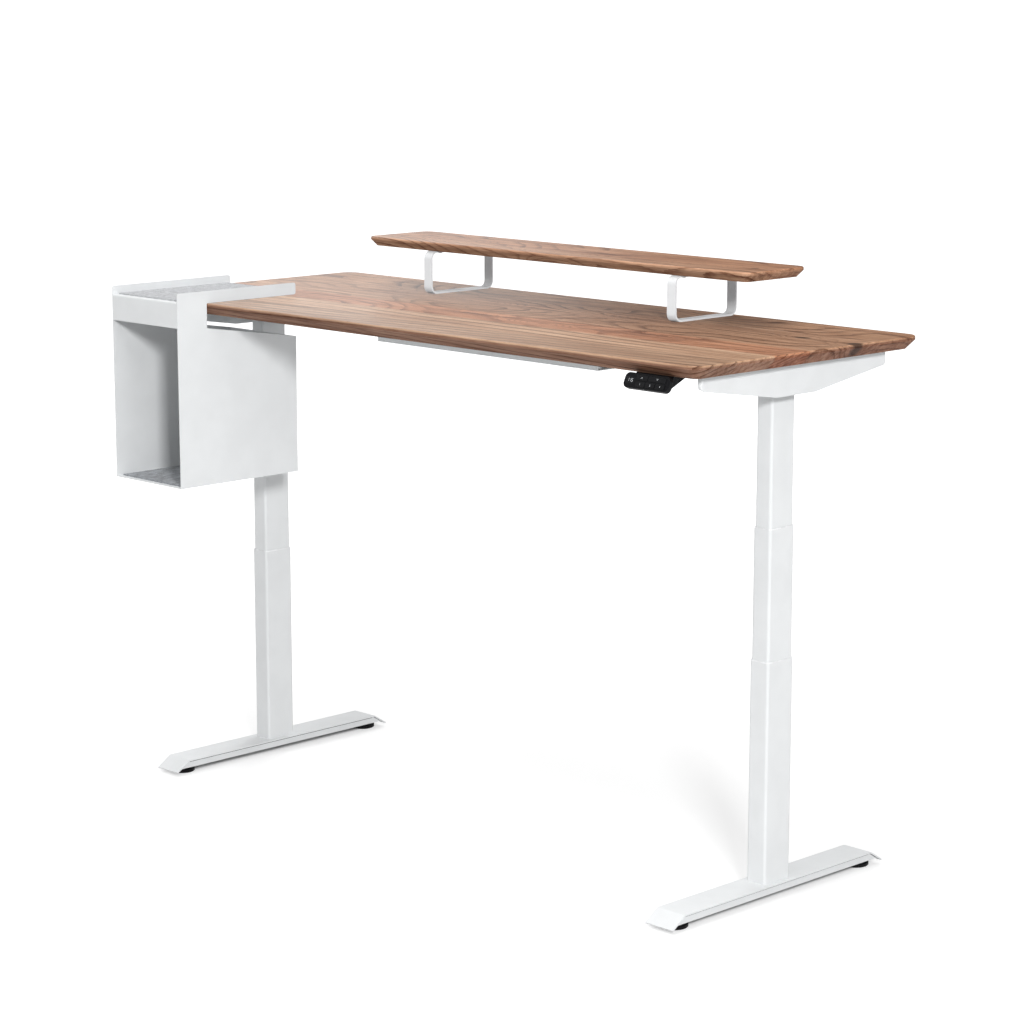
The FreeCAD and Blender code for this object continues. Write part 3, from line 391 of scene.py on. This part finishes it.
def growth_ring_group():
    """Rings of a log sawn along X, one log for each stave: arches on the face, arcs on the end grain."""
    labels = ("Stave", "Swell", "Ring Width", "Log Aside", "Wander")
    marks = ("Late Wood", "Fibre", "Streak", "Pores", "Cloud")
    group, inside, out = new_group("growth_rings", {"Place": "Vector", **dict.fromkeys(labels, "Float")},
                                   dict.fromkeys(marks, "Float"))
    w = Wiring(group)
    place = inside.outputs["Place"]
    stave, swell, ring, aside, wander = (inside.outputs[label] for label in labels)
    x, y, z = w.split(place)
    luck = [w.chance(w.math("ADD", stave, draw)) for draw in LOG_DRAWS]
    shifted = w.vector("ADD", place, w.joined(w.math("MULTIPLY", stave, LOG_STEP), 0.0, 0.0))

    def drift(repeats, detail, amount):
        even = w.math("SUBTRACT", w.pattern(shifted, repeats, detail), 0.5)
        return w.math("MULTIPLY", even, w.math("MULTIPLY", wander, amount))

    sway = w.math("ADD", w.math("MULTIPLY_ADD", luck[0], LOG_ASIDE, y), drift(*LOG_SWAY))
    side = w.math("ADD", sway, aside)
    waves = w.math("ADD", drift(*LOG_WAVES), drift(*LOG_RIPPLES))
    rise = w.math("ADD", waves, drift(*LOG_JAGS))
    tilt = w.math("MULTIPLY", w.math("SUBTRACT", luck[1], 0.5), LOG_TILT)
    level = w.math("MULTIPLY_ADD", x, tilt, z)
    depth = w.math("ADD", level, w.math("MULTIPLY_ADD", luck[2], LOG_DEPTH, rise))
    radius = w.math("ADD", w.length(w.joined(0.0, side, depth)), swell)
    phase = w.math("FRACT", w.math("DIVIDE", radius, ring))
    late = w.math("MULTIPLY", w.fade(phase, LATE_STARTS, LATE_DARKEST), w.fade(phase, 1.0, LATE_ENDS))
    strength = w.fade(w.pattern(shifted, *STRENGTH_PATTERN), *STRENGTH_FADE)
    dashes = w.fade(w.pattern(shifted, *DASH_PATTERN), *DASH_FADE)
    made = (
        w.math("MULTIPLY", late, w.math("MULTIPLY", strength, dashes)),
        w.pattern(shifted, *FIBRE_PATTERN),
        w.pattern(shifted, *STREAK_PATTERN),
        w.fade(w.pattern(shifted, *PORE_PATTERN), *PORE_FADE),
        w.pattern(shifted, *CLOUD_PATTERN),
    )
    for mark, value in zip(marks, made):
        w.put(out.inputs[mark], value)
    return group


def knot_group():
    """Oval knot: the rings swell round it and its heart is dark."""
    sockets = {"Place": "Vector", "Centre": "Vector", "Size": "Float", "Slimness": "Float"}
    group, inside, out = new_group("knot", sockets, {"Swell": "Float", "Dark": "Float"})
    w = Wiring(group)
    place, centre, size, slimness = (inside.outputs[label] for label in sockets)
    oval = w.vector("MULTIPLY", w.vector("SUBTRACT", place, centre), w.joined(1.0, slimness, KNOT_DEPTH))
    uneven = w.math("SUBTRACT", w.noise(place, RAGGED_SCALE, detail=3.0), 0.5)
    reach = w.math("ADD", w.length(oval), w.math("MULTIPLY", uneven, RAGGEDNESS))
    distance = w.math("DIVIDE", reach, size)
    rise = w.math("MULTIPLY", size, SWELL_RISE)
    w.put(out.inputs["Swell"], w.math("MULTIPLY", w.fade(distance, *SWELL_REACH), rise))
    w.put(out.inputs["Dark"], w.fade(distance, *HEART_REACH))
    return group


def surface_group(name):
    """Empty group for a surface's relief and tone, with its place and its output."""
    group, inside, out = new_group(name, {"Place": "Vector"}, {"Height": "Float", "Tone": "Float"})
    return group, Wiring(group), inside.outputs["Place"], out.inputs


def powder_coat_group():
    """Fine orange-peel of a baked powder coat."""
    group, w, place, out = surface_group("powder_coat")
    peel = w.noise(place, PEEL_SCALE, roughness=0.55)
    speck = w.noise(place, SPECK_SCALE, detail=1.0)
    w.put(out["Height"], w.math("ADD", peel, w.math("MULTIPLY", speck, SPECK_SHARE)))
    w.put(out["Tone"], w.noise(place, COAT_CLOUD_SCALE, detail=3.0))
    return group


def moulded_group():
    """Spark-eroded texture of a moulded plastic housing."""
    group, w, place, out = surface_group("moulded_grain")
    w.put(out["Height"], w.noise(place, EROSION_SCALE, detail=3.0, roughness=0.7))
    w.put(out["Tone"], w.noise(place, MOULD_CLOUD_SCALE, detail=3.0))
    return group


def felt_group():
    """Pressed wool: tangled fibres of two directions and a mottled tone."""
    group, w, place, out = surface_group("felt_fibres")

    def mean(a, b):
        return w.math("MULTIPLY", w.math("ADD", a, b), 0.5)

    tangle = mean(w.pattern(place, *WOOL_ALONG), w.pattern(place, *WOOL_ACROSS))
    w.put(out["Height"], tangle)
    w.put(out["Tone"], mean(tangle, w.pattern(place, *WOOL_MOTTLE)))
    return group


GROWTH_RINGS = growth_ring_group()
KNOT = knot_group()
FELT = felt_group()
# Grains of a finish: group, tone of its clouds, least and most change of roughness, and relief
POWDER = (powder_coat_group(), 0.965, -0.03, 0.04, 0.0003)
MOULDED = (moulded_group(), 1.25, -0.05, 0.06, 0.0002)


def new_material(name):
    """Material with a fresh Principled shader and the words to wire it."""
    material = bpy.data.materials.new(name)
    material.use_nodes = True
    tree = material.node_tree
    return material, Wiring(tree), tree.nodes["Principled BSDF"]


def toned(colour, share):
    return tuple(c * share for c in colour)


def stave_tone(w, row, tones):
    """Tone of each stave: a ramp with one step for each row."""
    ramp = w.make("ValToRGB")
    ramp.color_ramp.interpolation = "CONSTANT"
    stops = ramp.color_ramp.elements
    for i, tone in enumerate(tones):
        stop = stops[i] if i < len(stops) else stops.new(1.0)
        stop.position = i / len(tones)
        stop.color = (*tone, 1.0)
    w.put(ramp.inputs[0], w.math("DIVIDE", row, float(len(tones))))
    return ramp.outputs[0]


def oiled_wood(name, board, tones, edge, start, width, straight, knots):
    """Oiled board glued up from staves, each with its own tone and its own log."""
    material, w, shader = new_material(name)
    place = w.place()
    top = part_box(board)[1].z
    y, z = w.split(place)[1:]
    row = w.math("DIVIDE", w.math("SUBTRACT", y, start), width)
    stave = w.math("FLOOR", row)
    swell, dark = 0.0, 0.0
    for centre, size, slimness, heart in knots:
        knot = w.group(KNOT, Place=place, Centre=(*centre, top), Size=size, Slimness=slimness)
        swell = w.math("ADD", knot["Swell"], swell)
        dark = w.math("MAXIMUM", w.math("MULTIPLY", knot["Dark"], heart), dark)
    plain = w.math("LESS_THAN", stave, float(straight))
    rings = w.group(GROWTH_RINGS, Place=place, Stave=stave, Swell=swell, Ring_Width=RING_WIDTH,
                    Log_Aside=w.math("MULTIPLY", plain, STRAIGHT_ASIDE),
                    Wander=w.math("MULTIPLY_ADD", plain, STRAIGHT_WANDER - 1.0, 1.0))
    lively = w.math("MULTIPLY_ADD", plain, STRAIGHT_STREAKS - 1.0, 1.0)
    glue = w.math("ABSOLUTE", w.math("SUBTRACT", w.math("FRACT", row), 0.5))
    colour = stave_tone(w, row, tones)
    for share, stain in (
        (w.fade(rings["Cloud"], *CLOUD_FADE), CLOUD_STAIN),
        (w.fade(rings["Fibre"], *FIBRE_FADE), FIBRE_STAIN),
        (w.math("MULTIPLY", w.fade(rings["Streak"], *STREAK_FADE), lively), STREAK_STAIN),
        (rings["Late Wood"], LATE_STAIN),
        (w.math("MULTIPLY", rings["Pores"], PORE_SHARE), PORE_STAIN),
    ):
        colour = w.stained(share, colour, stain)
    colour = w.mix(dark, colour, HEART_BROWN)
    colour = w.stained(w.fade(glue, *GLUE_FADE), colour, GLUE_STAIN)
    # Painted shade: below the top face, bevels and undersides are darkened to the edge's share of the face's
    # tone
    face = w.fade(z, top - EDGE_STARTS, top - FACE_ENDS)
    colour = w.mix(face, w.mix(1.0, colour, edge, "MULTIPLY"), colour)
    # Light that bounces off the wood is neutral, so the white pieces beside it stay white
    bounced = w.make("LightPath").outputs["Is Diffuse Ray"]
    w.put(shader.inputs["Base Color"], w.mix(bounced, colour, WOOD_BOUNCE))
    w.put(shader.inputs["Roughness"], w.spread(rings["Fibre"], *WOOD_ROUGHNESS))
    shader.inputs["Specular IOR Level"].default_value = 0.1
    shader.inputs["Coat Roughness"].default_value = OIL_ROUGHNESS
    oil = w.fade(rings["Pores"], 0.0, 1.0, 1.0, OIL_OVER_PORE)
    w.put(shader.inputs["Coat Weight"], w.math("MULTIPLY", face, oil))
    raised_fibre = w.math("MULTIPLY", rings["Fibre"], RELIEF_SHARE)
    relief = w.math("ADD", raised_fibre, w.math("MULTIPLY", rings["Pores"], -RELIEF_SHARE))
    w.put(shader.inputs["Normal"], w.bump(relief, *WOOD_BUMP))
    return material


def grained(name, grain, colour, roughness, strength, gloss):
    """Coated or moulded finish: a fine grain in relief, faintly clouded in tone and roughness."""
    group, cloud, smoother, rougher, relief = grain
    material, w, shader = new_material(name)
    face = w.group(group, Place=w.place())
    w.put(shader.inputs["Base Color"], w.mix(w.spread(face["Tone"]), colour, toned(colour, cloud)))
    w.put(shader.inputs["Roughness"], w.spread(face["Tone"], roughness + smoother, roughness + rougher))
    shader.inputs["Specular IOR Level"].default_value = gloss
    w.put(shader.inputs["Normal"], w.bump(face["Height"], strength, relief))
    return material


def zinc_steel(name):
    """Zinc-plated steel: brushed along Z, with a faint cloudy tone."""
    material, w, shader = new_material(name)
    place = w.place()
    brush = w.pattern(place, *BRUSH_PATTERN)
    cloud = w.noise(place, ZINC_CLOUD_SCALE, detail=3.0)
    w.put(shader.inputs["Base Color"], w.mix(w.spread(cloud), ZINC, toned(ZINC, share=0.82)))
    w.put(shader.inputs["Roughness"], w.spread(brush, low=0.26, high=0.42))
    shader.inputs["Metallic"].default_value = 1.0
    w.put(shader.inputs["Normal"], w.bump(brush, strength=0.12, distance=0.0002))
    return material


def pressed_felt(name, colour, dark, light):
    """Wool felt with a soft sheen, mottled between two shares of its colour."""
    material, w, shader = new_material(name)
    felt = w.group(FELT, Place=w.place())
    mottle = w.fade(felt["Tone"], *MOTTLE_SPAN)
    w.put(shader.inputs["Base Color"], w.mix(mottle, toned(colour, dark), toned(colour, light)))
    shader.inputs["Roughness"].default_value = 0.95
    shader.inputs["Sheen Weight"].default_value = 0.25
    shader.inputs["Sheen Roughness"].default_value = 0.5
    w.put(shader.inputs["Normal"], w.bump(felt["Height"], *FELT_BUMP))
    return material


def dark_window(name):
    """Smooth dark window over the display, with faint smears."""
    material, w, shader = new_material(name)
    smear = w.noise(w.place(), SMEAR_SCALE, detail=3.0)
    w.put(shader.inputs["Base Color"], w.mix(w.spread(smear), WINDOW_BLACK, WINDOW_SMEAR))
    w.put(shader.inputs["Roughness"], w.spread(smear, low=0.06, high=0.14))
    return material


def printed_sign(name):
    """Pale printed signs on the keys and lit segments of the display."""
    material, w, shader = new_material(name)
    ink = w.noise(w.place(), INK_SCALE)
    w.put(shader.inputs["Base Color"], w.mix(w.spread(ink), SIGN_WHITE, toned(SIGN_WHITE, share=0.85)))
    w.put(shader.inputs["Roughness"], w.spread(ink, low=0.45, high=0.6))
    return material


DESK_WOOD = oiled_wood("desk_wood", "desktop", DESK_TONES, DESK_EDGE_SHADE, STAVE_START, STAVE_WIDTH,
                       straight=STRAIGHT_STAVES, knots=DESK_KNOTS)
SHELF_WOOD = oiled_wood("shelf_wood", "shelf_board", SHELF_TONES, SHELF_EDGE_SHADE, SHELF_STAVE_START,
                        SHELF_STAVE_WIDTH, straight=0, knots=SHELF_KNOTS)
WHITE_STEEL = grained("white_powder_coat", POWDER, WHITE_COAT, roughness=0.48, strength=0.10, gloss=0.3)
LEG_LIT_STEEL = grained("leg_coat_painted_light", POWDER, LEG_LIT_WHITE, roughness=0.48, strength=0.10, gloss=0.3)
# Painted shadow line under the edges of the feet's strips
SHADOW_LINE_COAT = grained("painted_shadow_line", POWDER, SHADOW_LINE_GREY, roughness=0.60, strength=0.10, gloss=0.2)
DRIVE_COAT = grained("black_drive_coat", POWDER, DRIVE_BLACK, roughness=0.46, strength=0.18, gloss=0.5)
CAP_PLASTIC = grained("white_cap_plastic", MOULDED, CAP_WHITE, roughness=0.42, strength=0.12, gloss=0.5)
BLACK_PLASTIC = grained("black_plastic", MOULDED, BLACK, roughness=0.46, strength=0.25, gloss=0.12)
KEY_PLASTIC = grained("key_plastic", MOULDED, KEY_BLACK, roughness=0.40, strength=0.15, gloss=0.15)
ZINC_STEEL = zinc_steel("zinc_steel")
WINDOW = dark_window("display_window")
SIGNS = printed_sign("pale_signs")
TRAY_WOOL = pressed_felt("tray_wool_felt", TRAY_FELT, dark=0.70, light=1.12)
BOX_WOOL = pressed_felt("box_wool_felt", BOX_FELT, dark=0.55, light=1.20)

FINISH_OF_SLOT = {
    "wood": DESK_WOOD,
    "white_steel": WHITE_STEEL,
    "cap_plastic": CAP_PLASTIC,
    "black_plastic": BLACK_PLASTIC,
    "key_plastic": KEY_PLASTIC,
    "screen": WINDOW,
    "zinc_steel": ZINC_STEEL,
    "drive_metal": DRIVE_COAT,
    "tray_felt": TRAY_WOOL,
    "box_felt": BOX_WOOL,
}
# Painted light: the shelf's legs take the brighter copy of the white coat
FINISH_OF_NODE = {"shelf_board": SHELF_WOOD, "shelf_leg_left": LEG_LIT_STEEL, "shelf_leg_right": LEG_LIT_STEEL}


def dress_cad_nodes():
    """Every CAD node takes its own finish or that of its slot; the oil doesn't mirror the shelf's legs."""
    for part in frame["record"]["subparts"]:
        node = nodes[part["node"]]
        finish = FINISH_OF_NODE.get(part["node"], FINISH_OF_SLOT[part["material_slot"]])
        node.data.materials.clear()
        node.data.materials.append(finish)
        node.visible_glossy = finish is not LEG_LIT_STEEL


def add_piece(name, mesh, body, slot, material):
    """Finished mesh as a piece that rides on a body."""
    piece = bpy.data.objects.new(name, mesh)
    bpy.context.scene.collection.objects.link(piece)
    mesh.materials.clear()
    mesh.materials.append(material)
    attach(piece, body)
    return piece


def mesh_of(bm, name):
    """Plain mesh of a finished edit mesh."""
    mesh = bpy.data.meshes.new(name)
    bm.to_mesh(mesh)
    bm.free()
    return mesh


def evaluated_mesh(carrier):
    """Plain mesh of all that an object makes; the object itself goes."""
    depsgraph = bpy.context.evaluated_depsgraph_get()
    made = bpy.data.meshes.new_from_object(carrier.evaluated_get(depsgraph))
    bpy.data.objects.remove(carrier)
    return made


def grown(bm):
    """Corners of the second skin that is pulled off all faces."""
    skin = bmesh.ops.extrude_face_region(bm, geom=bm.faces[:])
    return [part for part in skin["geom"] if isinstance(part, bmesh.types.BMVert)]


def felt_mesh(name, low, high):
    """Thin mat with rounded corners, a soft edge and a slightly uneven face."""
    width, depth = high.x - low.x, high.y - low.y
    columns, rows = round(width / FELT_CELL), round(depth / FELT_CELL)
    middle = (low + high) / 2
    bm = bmesh.new()
    bmesh.ops.create_grid(bm, x_segments=columns, y_segments=rows, size=0.5)
    for vertex in bm.verts:
        x, y = vertex.co.x * width, vertex.co.y * depth
        over_x = abs(x) - (width / 2 - FELT_CORNER)
        over_y = abs(y) - (depth / 2 - FELT_CORNER)
        if over_x > 0 and over_y > 0 and math.hypot(over_x, over_y) > FELT_CORNER:
            shrink = FELT_CORNER / math.hypot(over_x, over_y)
            x = math.copysign(width / 2 - FELT_CORNER + over_x * shrink, x)
            y = math.copysign(depth / 2 - FELT_CORNER + over_y * shrink, y)
        vertex.co = Vector((middle.x + x, middle.y + y, low.z))
    for vertex in grown(bm):
        inset = min(width / 2 - abs(vertex.co.x - middle.x), depth / 2 - abs(vertex.co.y - middle.y))
        soft = 1.0 - min(inset / FELT_EDGE, 1.0)
        uneven = sum(share * noise.noise(vertex.co * scale) for scale, share in FELT_WAVES)
        vertex.co.z = high.z - FELT_RISE - FELT_EDGE_DROP * soft * soft + FELT_RISE * uneven
    bmesh.ops.recalc_face_normals(bm, faces=bm.faces)
    mesh = mesh_of(bm, name)
    for polygon in mesh.polygons:
        polygon.use_smooth = True
    return mesh


def fibre_tree(material):
    """Geometry nodes: short curved fibres lie at random over the upward faces of a mat."""
    tree = bpy.data.node_groups.new("felt_fuzz", "GeometryNodeTree")
    for label, kind, value in (("Mat", "Geometry", None), ("Density", "Float", FIBRE_DENSITY),
                               ("Fibre Length", "Float", FIBRE_LENGTH),
                               ("Fibre Radius", "Float", FIBRE_RADIUS), ("Seed", "Int", FIBRE_SEED)):
        socket = tree.interface.new_socket(label, in_out="INPUT", socket_type="NodeSocket" + kind)
        if value is not None:
            socket.default_value = value
    tree.interface.new_socket("Fibres", in_out="OUTPUT", socket_type="NodeSocketGeometry")
    make, link = tree.nodes.new, tree.links.new
    inside, out = make("NodeGroupInput"), make("NodeGroupOutput")
    upward = make("FunctionNodeCompare")
    upward.data_type = "FLOAT"
    upward.operation = "GREATER_THAN"
    upward.inputs["B"].default_value = UPWARD
    normal, axes = make("GeometryNodeInputNormal"), make("ShaderNodeSeparateXYZ")
    link(normal.outputs[0], axes.inputs[0])
    link(axes.outputs["Z"], upward.inputs["A"])
    points = make("GeometryNodeDistributePointsOnFaces")
    link(inside.outputs["Mat"], points.inputs["Mesh"])
    link(upward.outputs["Result"], points.inputs["Selection"])
    link(inside.outputs["Density"], points.inputs["Density"])
    link(inside.outputs["Seed"], points.inputs["Seed"])
    curl = make("GeometryNodeCurveQuadraticBezier")
    curl.inputs["Resolution"].default_value = FIBRE_STEPS
    for label, place in FIBRE_CURL.items():
        curl.inputs[label].default_value = place
    stretched, thread = make("GeometryNodeTransform"), make("GeometryNodeCurvePrimitiveCircle")
    sizes = make("ShaderNodeCombineXYZ")
    for axis in ("X", "Y", "Z"):
        link(inside.outputs["Fibre Length"], sizes.inputs[axis])
    link(curl.outputs["Curve"], stretched.inputs["Geometry"])
    link(sizes.outputs[0], stretched.inputs["Scale"])
    thread.inputs["Resolution"].default_value = FIBRE_SIDES
    link(inside.outputs["Fibre Radius"], thread.inputs["Radius"])
    strand = make("GeometryNodeCurveToMesh")
    link(stretched.outputs["Geometry"], strand.inputs["Curve"])
    link(thread.outputs["Curve"], strand.inputs["Profile Curve"])
    turn = make("FunctionNodeRandomValue")
    turn.data_type = "FLOAT_VECTOR"
    turn.inputs[0].default_value = (-FIBRE_LEAN, -FIBRE_LEAN, 0.0)
    turn.inputs[1].default_value = (FIBRE_LEAN, FIBRE_LEAN, 2 * math.pi)
    link(inside.outputs["Seed"], turn.inputs["Seed"])
    strewn = make("GeometryNodeInstanceOnPoints")
    link(points.outputs["Points"], strewn.inputs["Points"])
    link(strand.outputs["Mesh"], strewn.inputs["Instance"])
    link(turn.outputs[0], strewn.inputs["Rotation"])
    whole, coloured = make("GeometryNodeRealizeInstances"), make("GeometryNodeSetMaterial")
    link(strewn.outputs["Instances"], whole.inputs["Geometry"])
    link(whole.outputs["Geometry"], coloured.inputs["Geometry"])
    coloured.inputs["Material"].default_value = material
    link(coloured.outputs["Geometry"], out.inputs["Fibres"])
    return tree


def fuzz_mesh(name, mat, wool):
    """Loose fibres on a mat's face."""
    carrier = bpy.data.objects.new(name, mat.data.copy())
    bpy.context.scene.collection.objects.link(carrier)
    carrier.modifiers.new("fibres", "NODES").node_group = fibre_tree(wool)
    return evaluated_mesh(carrier)


def felt_mats():
    """The two mats of the pannier, each with loose fibres on its face."""
    for node, wool, under in (("tray_felt", TRAY_WOOL, "pannier_tray"),
                              ("box_felt", BOX_WOOL, "pannier_bottom")):
        low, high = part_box(node)
        mat = add_piece(node + "_mat", felt_mesh(node + "_mat", low, high), "pannier", node, wool)
        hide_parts(node)
        fuzz = add_piece(node + "_fuzz", fuzz_mesh(node + "_fuzz", mat, wool), "pannier", node, wool)


def keypad_frame(node):
    """Place on a keypad node's face: X along it, Y up it, Z out of it."""
    tilt = math.radians(KEYPAD_TILT)
    out = Vector((0.0, -math.cos(tilt), math.sin(tilt)))
    up = Vector((0.0, math.sin(tilt), math.cos(tilt)))
    corners = [v.co for v in nodes[node].data.vertices]
    along = [c.x for c in corners]
    rise = [c.dot(up) for c in corners]
    face = max(c.dot(out) for c in corners)
    middle_x, middle_up = (min(along) + max(along)) / 2, (min(rise) + max(rise)) / 2
    turn = Matrix((Vector((1.0, 0.0, 0.0)), up, out)).transposed().to_4x4()
    return Matrix.Translation(Vector((middle_x, 0.0, 0.0)) + up * middle_up + out * face) @ turn


def raised(mesh, name):
    """Flat mesh given a thin printed rise."""
    bm = bmesh.new()
    bm.from_mesh(mesh)
    bmesh.ops.remove_doubles(bm, verts=bm.verts, dist=SAME_POINT)
    for vertex in grown(bm):
        vertex.co.z += SIGN_RISE
    bmesh.ops.recalc_face_normals(bm, faces=bm.faces)
    return mesh_of(bm, name)


def digit_sign(text):
    """Flat mesh of a number, centred."""
    curve = bpy.data.curves.new("number", "FONT")
    curve.body = text
    curve.size = TEXT_SIZE
    curve.align_x, curve.align_y = "CENTER", "CENTER"
    carrier = bpy.data.objects.new("number", curve)
    bpy.context.scene.collection.objects.link(carrier)
    return evaluated_mesh(carrier)


def flat_shapes(name, shapes):
    """Flat mesh of several polygons."""
    bm = bmesh.new()
    for points in shapes:
        bm.faces.new([bm.verts.new((x, y, 0.0)) for x, y in points])
    return mesh_of(bm, name)


def chevron(direction):
    """Arrow sign that points up (1) or down (-1)."""
    rise, pen = ARROW_RISE * direction, ARROW_PEN * direction
    arms = [[(0.0, rise), (end, -rise), (end, -rise - pen), (0.0, rise - pen)]
            for end in (-ARROW_HALF, ARROW_HALF)]
    return flat_shapes("arrow", arms)


def segment_digit(lit, x):
    """Lit bars of one seven-segment digit: a top, b and c right, d bottom, e and f left, g middle."""
    half_w, half_h, pen = DIGIT_WIDTH / 2, DIGIT_HEIGHT / 2, SEGMENT / 2
    ends = {
        "a": ((-half_w, half_h), (half_w, half_h)),
        "b": ((half_w, 0.0), (half_w, half_h)),
        "c": ((half_w, -half_h), (half_w, 0.0)),
        "d": ((-half_w, -half_h), (half_w, -half_h)),
        "e": ((-half_w, -half_h), (-half_w, 0.0)),
        "f": ((-half_w, 0.0), (-half_w, half_h)),
        "g": ((-half_w, 0.0), (half_w, 0.0)),
    }
    bars = []
    for bar in lit:
        start, end = Vector(ends[bar][0]), Vector(ends[bar][1])
        run = (end - start).normalized()
        side = Vector((-run.y, run.x)) * pen
        start, end = start + run * SEGMENT_GAP, end - run * SEGMENT_GAP
        tips = [start - run * pen, start + side, end + side, end + run * pen, end - side, start - side]
        bars.append([(x + p.x, p.y) for p in tips])
    return bars


def keypad_signs():
    """Signs on the keys and the height on the display."""
    signs = {"key_1": digit_sign("1"), "key_2": digit_sign("2"), "key_3": digit_sign("3"),
             "key_up": chevron(1), "key_down": chevron(-1)}
    for key, flat in signs.items():
        mesh = raised(flat, key + "_sign")
        mesh.transform(keypad_frame(key))
        add_piece(key + "_sign", mesh, key + "_cap", "key_plastic", SIGNS)
    bars = []
    for step, lit in zip((-1, 0, 1), DISPLAY_DIGITS):
        bars += segment_digit(lit, step * DIGIT_PITCH)
    mesh = raised(flat_shapes("height", bars), "display_height")
    mesh.transform(keypad_frame("keypad_screen"))
    add_piece("display_height", mesh, "desk", "screen", SIGNS)


def foot_shadow_lines():
    """Painted shadow: a dark strip on the walls under the edges of each foot's strip."""
    for foot in FEET:
        low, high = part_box(foot)
        middle_y, middle_z = (low.y + high.y) / 2, high.z - FOOT_SHEET - SHADOW_LINE_HEIGHT / 2
        sizes = Matrix.Diagonal((SHADOW_LINE_PROUD, high.y - low.y - 2 * SHADOW_LINE_SHORT, SHADOW_LINE_HEIGHT, 1.0))
        bm = bmesh.new()
        for edge, inwards in ((low.x, 1), (high.x, -1)):
            middle_x = edge + inwards * (FOOT_WALL_INSET - SHADOW_LINE_PROUD / 2)
            place = Matrix.Translation((middle_x, middle_y, middle_z))
            bmesh.ops.create_cube(bm, size=1.0, matrix=place @ sizes)
        add_piece(foot + "_shadow_line", mesh_of(bm, foot + "_shadow_line"), "base", "white_steel", SHADOW_LINE_COAT)


def area_lamp(name, place, aim, size, power, glare):
    """Square lamp; without glare it leaves no highlight in a gloss."""
    lamp = bpy.data.lights.new(name, "AREA")
    lamp.shape = "SQUARE"
    lamp.size = size
    lamp.energy = power
    holder = bpy.data.objects.new(name, lamp)
    holder.location = place
    holder.rotation_euler = (Vector(aim) - Vector(place)).to_track_quat("-Z", "Y").to_euler()
    holder.visible_glossy = glare
    bpy.context.scene.collection.objects.link(holder)


def seen_share(w):
    """One for what the camera sees directly, in a gloss or through glass."""
    path = w.make("LightPath")
    seen = w.math("MAXIMUM", path.outputs["Is Camera Ray"], path.outputs["Is Glossy Ray"])
    return w.math("MAXIMUM", seen, path.outputs["Is Transmission Ray"])


def unshadowed_share(w, foot):
    """Painted contact shadow: nought on the floor under the middle of a foot, one towards its outline and
    beyond.
    """
    low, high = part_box(foot)
    middle, half = (low + high) / 2, (high - low) / 2
    beyond = []
    for axis, along in enumerate(w.split(w.place())[:2]):
        off_middle = w.math("ABSOLUTE", w.math("SUBTRACT", along, middle[axis]))
        beyond.append(w.math("SUBTRACT", off_middle, half[axis]))
    return w.fade(w.math("MAXIMUM", *beyond), SHADE_FROM, SHADE_TO)


def white_world():
    """Even soft light, white where it is seen; in a gloss the room is white only on the left."""
    world = bpy.data.worlds.new("studio")
    bpy.context.scene.world = world
    world.use_nodes = True
    world.cycles.sampling_method = "NONE"
    w = Wiring(world.node_tree)
    background = world.node_tree.nodes["Background"]
    background.inputs["Color"].default_value = (1.0, 1.0, 1.0, 1.0)
    path = w.make("LightPath")
    direction = w.make("TexCoord").outputs["Generated"]
    side = w.fade(w.split(direction)[0], WHITE_STARTS, WHITE_FULL, ROOM_GLOSS, 1.0)
    gloss = path.outputs["Is Glossy Ray"]
    clear = w.math("MAXIMUM", path.outputs["Is Camera Ray"], path.outputs["Is Transmission Ray"])
    in_gloss = w.math("MULTIPLY", gloss, side)
    light = w.math("MULTIPLY", w.math("SUBTRACT", 1.0, gloss), ROOM_LIGHT)
    w.put(background.inputs["Strength"], w.math("MAXIMUM", clear, w.math("ADD", in_gloss, light)))


def pale_floor():
    """Pale floor that keeps the soft shadow near the desk, has a painted shadow under the feet and goes
    white away from it.
    """
    bm = bmesh.new()
    bmesh.ops.create_grid(bm, x_segments=1, y_segments=1, size=FLOOR_REACH)
    floor = bpy.data.objects.new("floor", mesh_of(bm, "floor"))
    bpy.context.scene.collection.objects.link(floor)
    material, w, shader = new_material("pale_floor")
    w.tree.nodes.remove(shader)
    matt, polish, glow = w.make("BsdfDiffuse"), w.make("BsdfGlossy"), w.make("Emission")
    ground, both = w.make("MixShader"), w.make("AddShader")
    matt.inputs["Color"].default_value = (*FLOOR_COLOUR, 1.0)
    polish.inputs["Roughness"].default_value = FLOOR_POLISH_ROUGHNESS
    ground.inputs["Fac"].default_value = FLOOR_POLISH
    away = w.fade(w.length(w.place()), FLOOR_NEAR, FLOOR_FAR, FLOOR_GLOW, 1.0)
    # Painted shadow: the glow is taken out under each foot
    for foot in FEET:
        away = w.math("MULTIPLY", away, unshadowed_share(w, foot))
    w.put(glow.inputs["Strength"], w.math("MULTIPLY", seen_share(w), away))
    w.put(ground.inputs[1], matt.outputs[0])
    w.put(ground.inputs[2], polish.outputs[0])
    w.put(both.inputs[0], ground.outputs[0])
    w.put(both.inputs[1], glow.outputs[0])
    w.put(w.tree.nodes["Material Output"].inputs["Surface"], both.outputs[0])
    floor.data.materials.append(material)


def photo_camera():
    """Camera without roll, turned and pitched as the photograph's was."""
    data = bpy.data.cameras.new("photo_camera")
    data.lens, data.sensor_width = CAMERA_LENS, SENSOR
    camera = bpy.data.objects.new("photo_camera", data)
    camera.location = CAMERA_PLACE
    camera.rotation_euler = (math.radians(90.0 + CAMERA_PITCH), 0.0, math.radians(CAMERA_YAW))
    bpy.context.scene.collection.objects.link(camera)
    bpy.context.scene.camera = camera


def studio():
    """Camera, floor, room and lamps: one overhead, a key from the front right and a fill from the back."""
    bpy.context.scene.view_settings.view_transform = "Standard"
    photo_camera()
    pale_floor()
    white_world()
    for lamp in LAMPS:
        area_lamp(*lamp)


studio()
dress_cad_nodes()
felt_mats()
keypad_signs()
foot_shadow_lines()
